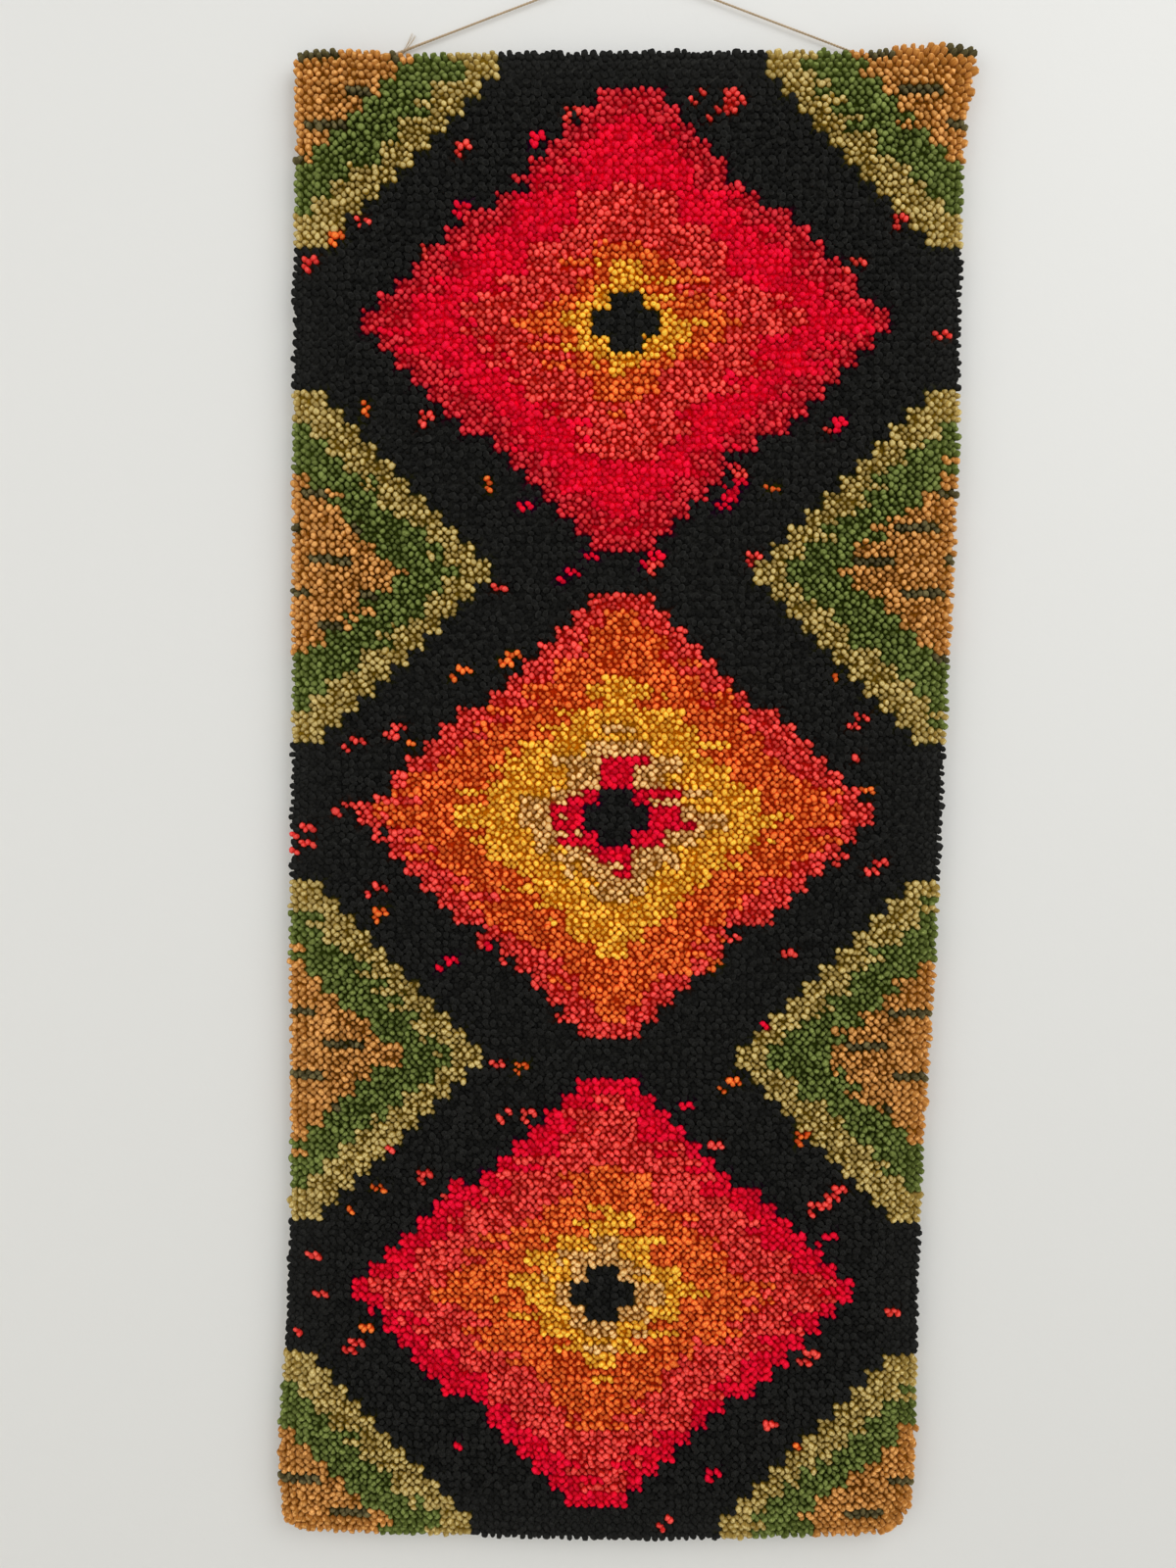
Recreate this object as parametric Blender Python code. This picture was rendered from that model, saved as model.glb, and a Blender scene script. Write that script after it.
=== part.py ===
"""Latch-hooked wool wall hanging on a loop of twine.

A rug canvas with its edge turned back carries a dense cut pile. A length of twine is knotted to the
canvas near each end of the top edge and rises to one point, where a nail would hold it.
The origin is that point, under the twine. The pile faces -Y, the back faces +Y, and +Z is up.
"""

import math

import bmesh
import bpy
import numpy as np
from mathutils import Vector
from mathutils.geometry import delaunay_2d_cdt

# Sizes in metres
CLEARANCE = 0.0003          # between pieces that touch
CANVAS_THICKNESS = 0.0022
HEM_WIDTH = 0.035           # edge of the canvas turned back behind it
HEM_THICKNESS = 0.0018
LEAST_BEND = 0.002          # of a corner's inner edge
PILE_HEIGHT = 0.0155
PILE_OVERHANG = 0.0062      # outer tufts lean out past the canvas
TWINE_DIAMETER = 0.0022
TAIL_DIAMETER = 0.0010
KNOT_SIZE = (0.0064, 0.0034, 0.0052)

# Finished edge of the canvas, from the nail point: the cloth is a little wider at the top and skewed
SIDE_EDGES = (
    # share of the way down, left x, right x
    (0.00, -0.2970, 0.3085),
    (0.15, -0.3010, 0.3085),
    (0.27, -0.2985, 0.3110),
    (0.45, -0.3000, 0.3055),
    (0.60, -0.3030, 0.3015),
    (0.75, -0.3005, 0.2945),
    (0.86, -0.3040, 0.2935),
    (0.94, -0.3105, 0.2945),
    (1.00, -0.3070, 0.2900),
)
END_EDGES = (
    # share of the way across, top z, bottom z
    (0.00, -0.0915, -1.4830),
    (0.25, -0.0900, -1.4895),
    (0.50, -0.0870, -1.4920),
    (0.75, -0.0835, -1.4895),
    (1.00, -0.0805, -1.4800),
)
CORNER_RADII = (
    # corner in the order of the walk round the edge, radius
    ("top_right", 0.005),
    ("bottom_right", 0.030),
    ("bottom_left", 0.014),
    ("top_left", 0.008),
)

# Rim and lumps of the pile
LOCK_SPACING = 0.0185       # a lock is a clump of tufts at the rim
LOCK_DEPTH = 0.0030
FLARE_REACH = 0.090         # the top right corner fans out over this distance
FLARE_OVERHANG = 0.0070
FLARE_LOCK_DEPTH = 0.0035
LOCK_SWAY = 0.0012          # each lock leans a little along the edge
RIM_RINGS = (
    # ring of the locks, share of the pile height, share of the locks' reach past the canvas
    ("root", 0.00, -0.25),
    ("shaft", 0.38, 0.80),
    ("widest", 0.74, 1.00),
    ("tip", 0.95, 0.40),
)
LUMP_SPACING = 0.029
LUMP_HEIGHT = 0.0013
LUMP_MARGIN = 0.011         # from the canvas edge to the outermost lumps
SEED = 7
CANVAS_STEPS = {"side": 48, "end": 20, "corner": 4}
PILE_STEPS = {"side": 300, "end": 130, "corner": 12}

# Twine from the left knot over the nail point to the right knot: x, y, z
TWINE_ROUTE = (
    (-0.2286, 0.0005, -0.0868),
    (-0.2100, 0.0001, -0.0797),
    (-0.1900, 0.0000, -0.0719),
    (-0.1650, 0.0000, -0.0623),
    (-0.1400, 0.0000, -0.0526),
    (-0.1150, 0.0000, -0.0429),
    (-0.0900, 0.0000, -0.0333),
    (-0.0650, 0.0000, -0.0236),
    (-0.0400, 0.0000, -0.0139),
    (-0.0200, 0.0000, -0.0062),
    (-0.0080, 0.0000, -0.0015),
    (-0.0022, 0.0000, 0.0007),
    (0.0000, 0.0000, 0.0011),
    (0.0022, 0.0000, 0.0007),
    (0.0080, 0.0000, -0.0014),
    (0.0200, 0.0000, -0.0056),
    (0.0400, 0.0000, -0.0127),
    (0.0650, 0.0000, -0.0216),
    (0.0900, 0.0000, -0.0304),
    (0.1150, 0.0000, -0.0393),
    (0.1400, 0.0000, -0.0482),
    (0.1650, 0.0000, -0.0570),
    (0.1900, 0.0000, -0.0659),
    (0.2100, 0.0001, -0.0730),
    (0.2250, 0.0005, -0.0782),
)
# The left end's loose fibres pass behind the twine and stand up past it
TAIL_ROUTE = (
    (-0.2282, 0.0012, -0.0888),
    (-0.2230, 0.0018, -0.0872),
    (-0.2165, 0.0022, -0.0845),
    (-0.2110, 0.0022, -0.0815),
    (-0.2065, 0.0020, -0.0778),
    (-0.2025, 0.0015, -0.0730),
    (-0.1990, 0.0010, -0.0680),
    (-0.1965, 0.0006, -0.0625),
)
CORD_STEP = 2.6             # diameters from one point of a cord to the next
KNOT_X = {"twine_knot_left": -0.2316, "twine_knot_right": 0.2281}

# Planes from front to back
CANVAS_FRONT = -CANVAS_THICKNESS / 2
CANVAS_BACK = CANVAS_THICKNESS / 2
HEM_BACK = CANVAS_BACK + HEM_THICKNESS
PILE_BACK = CANVAS_FRONT - CLEARANCE


def clear_scene():
    for obj in list(bpy.data.objects):
        bpy.data.objects.remove(obj, do_unlink=True)


def material(name, color, roughness):
    mat = bpy.data.materials.new(name)
    mat.use_nodes = True
    shader = mat.node_tree.nodes["Principled BSDF"]
    shader.inputs["Base Color"].default_value = (*color, 1.0)
    shader.inputs["Roughness"].default_value = roughness
    shader.inputs["Metallic"].default_value = 0.0
    mat.diffuse_color = (*color, 1.0)
    return mat


def add_object(name, data, mat):
    data.materials.append(mat)
    obj = bpy.data.objects.new(name, data)
    bpy.context.scene.collection.objects.link(obj)
    return obj


def smooth_through(at, values, where):
    """A curve through the table's values, with the slope at each taken from its neighbours."""
    at, values = np.asarray(at), np.asarray(values)
    slopes = np.gradient(values, at)
    where = np.clip(where, at[0], at[-1])
    row = np.clip(np.searchsorted(at, where, side="right") - 1, 0, len(at) - 2)
    step = at[row + 1] - at[row]
    t = (where - at[row]) / step
    start = (1 + 2 * t) * (1 - t) ** 2 * values[row] + t * (1 - t) ** 2 * step * slopes[row]
    end = t ** 2 * (3 - 2 * t) * values[row + 1] - t ** 2 * (1 - t) * step * slopes[row + 1]
    return start + end


def cloth_point(across, down):
    """Place on the cloth at a share across and down its face, as x and z."""
    share, left, right = zip(*SIDE_EDGES)
    left_x = smooth_through(share, left, down)
    right_x = smooth_through(share, right, down)
    share, top, bottom = zip(*END_EDGES)
    top_z = smooth_through(share, top, across)
    bottom_z = smooth_through(share, bottom, across)
    return left_x + (right_x - left_x) * across, top_z + (bottom_z - top_z) * down


def nominal_size():
    """Width and height of the cloth through its middle."""
    left, right = (cloth_point(across, 0.5)[0] for across in (0.0, 1.0))
    top, bottom = (cloth_point(0.5, down)[1] for down in (0.0, 1.0))
    return float(right - left), float(top - bottom)


def edge_path(inset, steps):
    """Edge of the cloth, moved in by inset, clockwise as seen from the front, as x and z.

    The walk goes round a rectangle with rounded corners, and each point is then put on the cloth.
    Steps are the numbers of steps down a long side, across an end and round a corner.
    """
    width, height = nominal_size()
    half = np.array([width / 2, height / 2])
    corner_signs = ((1, 1), (1, -1), (-1, -1), (-1, 1))
    arcs = []
    for number, ((_, radius), signs) in enumerate(zip(CORNER_RADII, corner_signs)):
        bend = max(radius - inset, LEAST_BEND)
        centre = np.array(signs) * (half - inset - bend)
        first = math.pi / 2 - number * math.pi / 2
        angles = np.linspace(first, first - math.pi / 2, steps["corner"] + 1)
        arcs.append(centre + bend * np.column_stack((np.cos(angles), np.sin(angles))))
    points = []
    for number, arc in enumerate(arcs):
        following = arcs[(number + 1) % len(arcs)][0]
        side_steps = steps["side"] if number % 2 == 0 else steps["end"]
        shares = np.arange(1, side_steps) / side_steps
        points += [arc, arc[-1] + shares[:, None] * (following - arc[-1])]
    across, up = (np.vstack(points) / (2 * half)).T
    return np.column_stack(cloth_point(across + 0.5, 0.5 - up))


def evenly(path, count):
    """A closed path read at even distances along it."""
    closed = np.vstack((path, path[:1]))
    along = np.concatenate(([0], np.cumsum(np.linalg.norm(np.diff(closed, axis=0), axis=1))))
    places = np.arange(count) / count * along[-1]
    return np.column_stack([np.interp(places, along, closed[:, axis]) for axis in (0, 1)])


def path_length(path):
    return float(np.linalg.norm(np.roll(path, -1, axis=0) - path, axis=1).sum())


def outward(path):
    """Unit normals of a closed path that runs clockwise."""
    along = np.roll(path, -1, axis=0) - np.roll(path, 1, axis=0)
    normals = np.column_stack((-along[:, 1], along[:, 0]))
    return normals / np.linalg.norm(normals, axis=1, keepdims=True)


def add_ring(bm, path, y):
    heights = np.broadcast_to(y, len(path))
    return [bm.verts.new((x, depth, z)) for (x, z), depth in zip(path, heights)]


def join_rings(bm, first, second):
    count = len(first)
    for i in range(count):
        j = (i + 1) % count
        bm.faces.new((first[i], first[j], second[j], second[i]))


def finish_mesh(name, bm):
    bmesh.ops.triangulate(bm, faces=[face for face in bm.faces if len(face.verts) > 4])
    bmesh.ops.recalc_face_normals(bm, faces=bm.faces)
    mesh = bpy.data.meshes.new(name)
    bm.to_mesh(mesh)
    bm.free()
    return mesh


def build_canvas(mat):
    """Woven canvas, one sheet with its edge turned back into a flat hem behind it."""
    bm = bmesh.new()
    edge = edge_path(0.0, CANVAS_STEPS)
    hem_edge = edge_path(HEM_WIDTH, CANVAS_STEPS)
    hem_fold = edge_path(HEM_WIDTH + HEM_THICKNESS / 2, CANVAS_STEPS)
    front = add_ring(bm, edge, CANVAS_FRONT)
    rim = add_ring(bm, edge, HEM_BACK)
    inner = add_ring(bm, hem_edge, HEM_BACK)
    middle = add_ring(bm, hem_fold, CANVAS_BACK)
    bm.faces.new(front)
    join_rings(bm, front, rim)
    join_rings(bm, rim, inner)
    join_rings(bm, inner, middle)
    bm.faces.new(middle)
    return add_object("canvas", finish_mesh("canvas", bm), mat)


def rim_offsets(path, rng):
    """How far each rim point of the pile stands out past the canvas: three points to a lock."""
    locks = len(path) // 3
    corner = np.array(cloth_point(1.0, 0.0))
    nearness = np.clip(1 - np.linalg.norm(path - corner, axis=1) / FLARE_REACH, 0, 1) ** 1.5
    lock_size = np.repeat(rng.uniform(0.45, 1.0, locks), 3)
    lock_shape = np.tile((0.0, 1.0, 0.85), locks)
    depth = LOCK_DEPTH + FLARE_LOCK_DEPTH * nearness
    return PILE_OVERHANG + FLARE_OVERHANG * nearness + depth * lock_size * (lock_shape - 0.6)


def lump_places(rng):
    """Staggered rows of points over the face, each a little off its row."""
    width, height = nominal_size()
    columns = int((width - 2 * LUMP_MARGIN) / LUMP_SPACING)
    rows = int((height - 2 * LUMP_MARGIN) / (LUMP_SPACING * math.sqrt(0.75)))
    row, column = np.mgrid[0:rows + 1, 0:columns + 1].astype(float)
    column += np.where(row % 2 == 1, 0.5, 0.0)
    inside = column <= columns
    row, column = row[inside], column[inside]
    row += rng.uniform(-0.18, 0.18, len(row)) * ((row > 0) & (row < rows))
    column += rng.uniform(-0.18, 0.18, len(column)) * ((column > 0.5) & (column < columns - 0.5))
    across = (LUMP_MARGIN + column / columns * (width - 2 * LUMP_MARGIN)) / width
    down = (LUMP_MARGIN + row / rows * (height - 2 * LUMP_MARGIN)) / height
    return np.column_stack(cloth_point(across, down))


def build_pile(mat):
    """Cut pile as one lumpy slab: flat behind, fanned locks round its rim, low lumps on its face."""
    rng = np.random.default_rng(SEED)
    base = edge_path(0.0, PILE_STEPS)
    count = 3 * int(round(path_length(base) / LOCK_SPACING))
    base = evenly(base, count)
    normals = outward(base)
    offsets = rim_offsets(base, rng)
    sway = rng.uniform(-LOCK_SWAY, LOCK_SWAY, count)
    along = np.column_stack((normals[:, 1], -normals[:, 0]))

    bm = bmesh.new()
    rings = []
    for _, height, reach in RIM_RINGS:
        path = base + normals * (reach * offsets)[:, None] + along * (reach * sway)[:, None]
        rings.append(add_ring(bm, path, PILE_BACK - height * PILE_HEIGHT))
    bm.faces.new(rings[0])
    for lower, upper in zip(rings, rings[1:]):
        join_rings(bm, lower, upper)
    rim = rings[-1]

    lumps = lump_places(rng)
    depths = PILE_BACK - PILE_HEIGHT - LUMP_HEIGHT * rng.uniform(-1, 1, len(lumps))
    face_verts = rim + add_ring(bm, lumps, depths)
    flat = [Vector((vert.co.x, vert.co.z)) for vert in face_verts]
    loop = [(i, (i + 1) % count) for i in range(count)]
    placed, _, triangles, sources, _, _ = delaunay_2d_cdt(flat, loop, [], 1, 1e-6)
    for triangle in triangles:
        bm.faces.new([face_verts[sources[i][0]] for i in triangle])
    return add_object("pile", finish_mesh("pile", bm), mat)


def smooth_route(route, spacing):
    """Even points on one smooth curve through a cord's route."""
    route = np.asarray(route)
    chord = np.concatenate(([0], np.cumsum(np.linalg.norm(np.diff(route, axis=0), axis=1))))
    count = int(round(chord[-1] / spacing)) + 1
    places = np.linspace(0, chord[-1], count)
    return np.column_stack([smooth_through(chord, route[:, axis], places) for axis in range(3)])


def build_cord(name, route, diameter, mat):
    """Round cord as a tube along its route, with closed ends."""
    points = smooth_route(route, CORD_STEP * diameter)
    curve = bpy.data.curves.new(name, "CURVE")
    curve.dimensions = "3D"
    curve.bevel_depth = diameter / 2
    curve.bevel_resolution = 2
    curve.use_fill_caps = True
    spline = curve.splines.new("POLY")
    spline.points.add(len(points) - 1)
    for point, place in zip(spline.points, points):
        point.co = (*place, 1.0)
        point.radius = 1.0
    spline.use_smooth = True
    return add_object(name, curve, mat)


def build_knot(name, knot_x, mat):
    """Overhand knot as a rounded knob, seated on the top edge of the canvas."""
    share, top, _ = zip(*END_EDGES)
    left_x, right_x = (float(cloth_point(across, 0.0)[0]) for across in (0.0, 1.0))
    edge_z = float(smooth_through(share, top, (knot_x - left_x) / (right_x - left_x)))
    width, depth, height = KNOT_SIZE
    bm = bmesh.new()
    bmesh.ops.create_icosphere(bm, subdivisions=2, radius=0.5)
    for vert in bm.verts:
        swell = 1 + 0.07 * math.sin(8 * vert.co.x + 6 * vert.co.z)
        vert.co.x *= width * swell
        vert.co.y *= depth
        vert.co.z *= height
    lowest = min(vert.co.z for vert in bm.verts)
    mesh = finish_mesh(name, bm)
    mesh.shade_smooth()
    obj = add_object(name, mesh, mat)
    obj.location = (knot_x, CANVAS_FRONT + depth / 2, edge_z + CLEARANCE - lowest)
    return obj


def main():
    clear_scene()
    canvas_cotton = material("canvas_cotton", (0.62, 0.55, 0.42), 0.9)
    wool = material("wool", (0.45, 0.05, 0.04), 0.95)
    twine = material("twine", (0.46, 0.34, 0.21), 0.9)
    build_canvas(canvas_cotton)
    build_pile(wool)
    build_cord("hanging_twine", TWINE_ROUTE, TWINE_DIAMETER, twine)
    build_cord("twine_tail_left", TAIL_ROUTE, TAIL_DIAMETER, twine)
    for name, knot_x in KNOT_X.items():
        build_knot(name, knot_x, twine)


main()
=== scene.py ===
import math

import bpy
import numpy as np
from mathutils import Matrix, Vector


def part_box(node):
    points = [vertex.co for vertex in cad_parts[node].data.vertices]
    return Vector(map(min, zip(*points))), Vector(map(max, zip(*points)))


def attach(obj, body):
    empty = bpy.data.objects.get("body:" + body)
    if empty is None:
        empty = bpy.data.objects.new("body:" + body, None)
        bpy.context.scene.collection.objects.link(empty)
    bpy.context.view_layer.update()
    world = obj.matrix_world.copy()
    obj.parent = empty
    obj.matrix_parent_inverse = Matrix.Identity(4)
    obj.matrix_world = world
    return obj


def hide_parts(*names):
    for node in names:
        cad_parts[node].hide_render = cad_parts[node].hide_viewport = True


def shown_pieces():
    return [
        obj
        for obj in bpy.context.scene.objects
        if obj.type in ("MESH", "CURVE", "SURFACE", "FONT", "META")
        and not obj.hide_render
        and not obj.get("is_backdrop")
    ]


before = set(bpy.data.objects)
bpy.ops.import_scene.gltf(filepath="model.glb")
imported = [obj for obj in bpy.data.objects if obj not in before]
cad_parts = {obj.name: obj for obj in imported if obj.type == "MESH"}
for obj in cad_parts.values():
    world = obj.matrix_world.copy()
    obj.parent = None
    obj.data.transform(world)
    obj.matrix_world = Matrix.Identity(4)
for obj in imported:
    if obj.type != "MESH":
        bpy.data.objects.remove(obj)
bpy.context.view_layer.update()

scene = bpy.context.scene
scene.view_settings.view_transform = "Standard"


# Camera: held a little low and very slightly turned; metres and degrees
photoCamera = {
    "place": (-0.0252, -1.1267, -0.7053),
    "pitch": -2.7,
    "roll": 0.75,
    "focalPixels": 1202,
    "imageHeight": 1600,
    "sensor": 36.0,
    "clipStart": 0.01,
}


def makeCamera(settings):
    # looks along +Y, tipped by the pitch, then turned about its own line of sight by the roll
    pitch, roll = math.radians(settings["pitch"]), math.radians(settings["roll"])
    ahead = np.array([0, math.cos(pitch), math.sin(pitch)])
    level = np.array([1.0, 0, 0])
    above = np.cross(level, ahead)
    right = level * math.cos(roll) + above * math.sin(roll)
    up = above * math.cos(roll) - level * math.sin(roll)
    data = bpy.data.cameras.new("photo_camera")
    data.sensor_width = settings["sensor"]
    data.lens = settings["focalPixels"] / settings["imageHeight"] * settings["sensor"]
    data.clip_start = settings["clipStart"]
    camera = bpy.data.objects.new("photo_camera", data)
    scene.collection.objects.link(camera)
    turn = Matrix(np.column_stack((right, up, -ahead)).tolist()).to_4x4()
    camera.matrix_world = Matrix.Translation(settings["place"]) @ turn
    scene.camera = camera


makeCamera(photoCamera)
print("camera placed")


# The cloth's own shape: the canvas edge runs through these, metres from the nail point
cloth = {
    "columns": 80,           # knots across
    "rows": 183,             # knots down
    "sideShare": (0.00, 0.015, 0.03, 0.05, 0.15, 0.27, 0.45, 0.60, 0.75, 0.86, 0.94, 1.00),
    "leftX": (-0.3017, -0.3018, -0.3016, -0.3012, -0.3026, -0.3035,
              -0.3040, -0.3057, -0.3045, -0.3085, -0.3155, -0.3110),
    "rightX": (0.3165, 0.3155, 0.3135, 0.3115, 0.3115, 0.3140,
               0.3087, 0.3047, 0.2977, 0.2967, 0.2977, 0.2940),
    "endShare": (0.00, 0.05, 0.12, 0.17, 0.25, 0.50, 0.75, 0.93, 1.00),
    "topZ": (-0.0895, -0.0875, -0.0895, -0.0912, -0.0892, -0.0860, -0.0835, -0.0800, -0.0775),
    "bottomZ": (-1.4850, -1.4880, -1.4892, -1.4898, -1.4905, -1.4930, -1.4900, -1.4840, -1.4800),
    "corners": {"topRight": 0.006, "bottomRight": 0.034, "bottomLeft": 0.022, "topLeft": 0.012},
}

# Depths along Y, front to back
depths = {
    "canvasFront": -0.0011,
    "canvasBack": 0.0011,
    "hemBack": 0.0029,
    "pileBack": -0.0014,
}


def between(share, pair):
    # share 0 gives the first of the two and share 1 the second
    return pair[0] + (pair[1] - pair[0]) * share


def asPoints(x, y, z):
    # each is one number or an array
    return np.stack(np.broadcast_arrays(x, y, z), axis=-1)


def smoothThrough(at, values, where):
    # cubic through the table's values, each slope taken from its neighbours
    at, values = np.asarray(at), np.asarray(values)
    slopes = np.gradient(values, at)
    where = np.clip(where, at[0], at[-1])
    row = np.clip(np.searchsorted(at, where, side="right") - 1, 0, len(at) - 2)
    step = at[row + 1] - at[row]
    t = (where - at[row]) / step
    start = (1 + 2 * t) * (1 - t) ** 2 * values[row] + t * (1 - t) ** 2 * step * slopes[row]
    end = t ** 2 * (3 - 2 * t) * values[row + 1] - t ** 2 * (1 - t) * step * slopes[row + 1]
    return start + end


def middleSpan(shares, low, high):
    # distance between two opposite edges, halfway along them
    return float(np.interp(0.5, cloth[shares], cloth[high]) - np.interp(0.5, cloth[shares], cloth[low]))


clothWidth = middleSpan("sideShare", "leftX", "rightX")
clothHeight = middleSpan("endShare", "bottomZ", "topZ")
stitchWidth = clothWidth / cloth["columns"]
stitchHeight = clothHeight / cloth["rows"]


def hung(a, b):
    # a metres from the left and b from the top of the flat cloth, to x and z on the hung one:
    # across between the two side curves, down between the two end curves
    across, down = a / clothWidth, b / clothHeight
    left = smoothThrough(cloth["sideShare"], cloth["leftX"], down)
    right = smoothThrough(cloth["sideShare"], cloth["rightX"], down)
    top = smoothThrough(cloth["endShare"], cloth["topZ"], across)
    bottom = smoothThrough(cloth["endShare"], cloth["bottomZ"], across)
    return left + (right - left) * across, top + (bottom - top) * down


def roundedIn(a, b):
    # pulls the flat cloth's square corners in to arcs: inside a corner's square the larger of the
    # two distances is kept as the distance from the arc's centre
    a, b = np.array(a, float), np.array(b, float)
    places = {"topLeft": (0, 0), "topRight": (1, 0), "bottomLeft": (0, 1), "bottomRight": (1, 1)}
    for name, (onRight, atBottom) in places.items():
        radius = cloth["corners"][name]
        towardA, towardB = 2 * onRight - 1, 2 * atBottom - 1
        centreA = onRight * clothWidth - towardA * radius
        centreB = atBottom * clothHeight - towardB * radius
        outA, outB = (a - centreA) * towardA, (b - centreB) * towardB
        near = (outA > 0) & (outB > 0)
        scale = np.where(near, np.maximum(outA, outB) / np.maximum(np.hypot(outA, outB), 1e-9), 1)
        a = np.where(near, centreA + towardA * outA * scale, a)
        b = np.where(near, centreB + towardB * outB * scale, b)
    return a, b


def fromEdges(a, b):
    # distance in from the nearest edge of the flat cloth
    return np.minimum.reduce((a, b, clothWidth - a, clothHeight - b))


def fromScreen(red, green, blue):
    # an 8-bit screen colour as the linear one that a shader takes
    screen = np.array([red, green, blue]) / 255
    linear = np.where(screen <= 0.04045, screen / 12.92, ((screen + 0.055) / 1.055) ** 2.4)
    return tuple(float(c) for c in linear)


# Yarn shades in the chart's order: a tip's own colour in soft light, a deeper colour painted down between
# the ends as their shade, lit by a painted glow through the wool, and the light left on an end's sides; a
# yarn may have its own value of any of the wool's settings
yarns = {
    # black's deep colour and sides are lighter than its tip: painted light down between its ends
    "black": {"tip": fromScreen(15, 15, 14), "deep": fromScreen(34, 34, 32), "sides": 1.60,
              "sheen": 0.04, "tone": (0.30, 1.55)},
    "crimson": {"tip": fromScreen(230, 60, 68), "deep": fromScreen(196, 1, 24), "sides": 1.00},
    "scarlet": {"tip": fromScreen(238, 16, 56), "deep": fromScreen(238, 0, 38), "sides": 1.10},
    "coral": {"tip": fromScreen(255, 95, 87), "deep": fromScreen(222, 26, 16), "sides": 0.76},
    "orange": {"tip": fromScreen(255, 141, 62), "deep": fromScreen(228, 61, 3), "sides": 0.65},
    "gold": {"tip": fromScreen(255, 216, 80), "deep": fromScreen(244, 142, 2), "sides": 0.76},
    "peach": {"tip": fromScreen(255, 216, 146), "deep": fromScreen(200, 124, 32), "sides": 0.70},
    "olive": {"tip": fromScreen(212, 192, 128), "deep": fromScreen(146, 112, 22), "sides": 0.65},
    "green": {"tip": fromScreen(130, 142, 76), "deep": fromScreen(64, 76, 18), "sides": 0.60},
    "ochre": {"tip": fromScreen(236, 174, 102), "deep": fromScreen(158, 92, 14), "sides": 0.59},
    "brown": {"tip": fromScreen(118, 108, 70), "deep": fromScreen(62, 56, 32), "sides": 0.64},
}
yarnNames = list(yarns)


def putMesh(name, points, triangles, smooth=True):
    # whole arrays of corners and triangles into a new object
    mesh = bpy.data.meshes.new(name)
    mesh.vertices.add(len(points))
    mesh.vertices.foreach_set("co", np.asarray(points, np.float32).ravel())
    mesh.loops.add(3 * len(triangles))
    mesh.loops.foreach_set("vertex_index", np.asarray(triangles, np.int32).ravel())
    mesh.polygons.add(len(triangles))
    mesh.polygons.foreach_set("loop_start", 3 * np.arange(len(triangles), dtype=np.int32))
    mesh.update(calc_edges=True)
    if smooth:
        mesh.shade_smooth()
    obj = bpy.data.objects.new(name, mesh)
    scene.collection.objects.link(obj)
    return obj


def putVectors(obj, name, values):
    layer = obj.data.attributes.new(name, "FLOAT_VECTOR", "POINT")
    layer.data.foreach_set("vector", np.asarray(values, np.float32).ravel())


def putColours(obj, name, values):
    layer = obj.data.attributes.new(name, "FLOAT_COLOR", "POINT")
    opaque = np.column_stack((values, np.ones(len(values))))
    layer.data.foreach_set("color", opaque.astype(np.float32).ravel())


def putMap(obj, corners, name="OFBake"):
    # corners holds a u and v for each corner of each triangle
    layer = obj.data.uv_layers.new(name=name)
    layer.data.foreach_set("uv", np.asarray(corners, np.float32).ravel())


def cellMap(corners, count, firstCell, cellsAcross, fill=0.46):
    # each repeated shape's own map, which reaches from -1 to 1, in a square cell of its own
    cell = firstCell + np.arange(count)
    middle = np.column_stack((cell % cellsAcross, cell // cellsAcross)) + 0.5
    return ((fill * corners[None] + middle[:, None, None]) / cellsAcross).reshape(-1, 2)


def handOver(obj, material, node=None):
    # every piece rides on the one body; node is the CAD solid that it stands for
    obj.data.materials.append(material)
    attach(obj, "root")
    if node:
        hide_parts(node)
    return obj


# Materials are built from short chains of math nodes
def newMaterial(name, roughness, specular):
    material = bpy.data.materials.new(name)
    material.use_nodes = True
    shader = material.node_tree.nodes["Principled BSDF"]
    shader.inputs["Roughness"].default_value = roughness
    shader.inputs["Specular IOR Level"].default_value = specular
    return material, material.node_tree, shader


def fillSocket(tree, socket, value):
    # a number or a colour is set on the socket itself; anything else is another node's output
    if isinstance(value, (int, float)):
        socket.default_value = value
    elif isinstance(value, tuple):
        socket.default_value = (*value, 1)
    else:
        tree.links.new(value, socket)


def mathNode(tree, operation, *inputs):
    node = tree.nodes.new("ShaderNodeMath")
    node.operation = operation
    for socket, value in zip(node.inputs, inputs):
        fillSocket(tree, socket, value)
    return node.outputs[0]


def productNode(tree, product, *factors):
    for factor in factors:
        product = mathNode(tree, "MULTIPLY", product, factor)
    return product


def rangeNode(tree, value, fromLow, fromHigh, toLow, toHigh, smooth=False):
    node = tree.nodes.new("ShaderNodeMapRange")
    node.interpolation_type = "SMOOTHSTEP" if smooth else "LINEAR"
    for socket, number in zip(node.inputs, (value, fromLow, fromHigh, toLow, toHigh)):
        fillSocket(tree, socket, number)
    return node.outputs["Result"]


def toneNode(tree, noise, tones, span=(0.3, 0.7)):
    # noise as a lightness; nearly all of it lies within span
    return rangeNode(tree, noise, *span, *tones)


def placeNode(tree):
    # metres on the object's own axes
    return tree.nodes.new("ShaderNodeTexCoord").outputs["Object"]


def noiseNode(tree, scale, detail, stretch=(1, 1, 1)):
    mapping = tree.nodes.new("ShaderNodeMapping")
    mapping.inputs["Scale"].default_value = stretch
    noise = tree.nodes.new("ShaderNodeTexNoise")
    noise.inputs["Scale"].default_value = scale
    noise.inputs["Detail"].default_value = detail
    tree.links.new(placeNode(tree), mapping.inputs["Vector"])
    tree.links.new(mapping.outputs["Vector"], noise.inputs["Vector"])
    return noise.outputs["Fac"]


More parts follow.
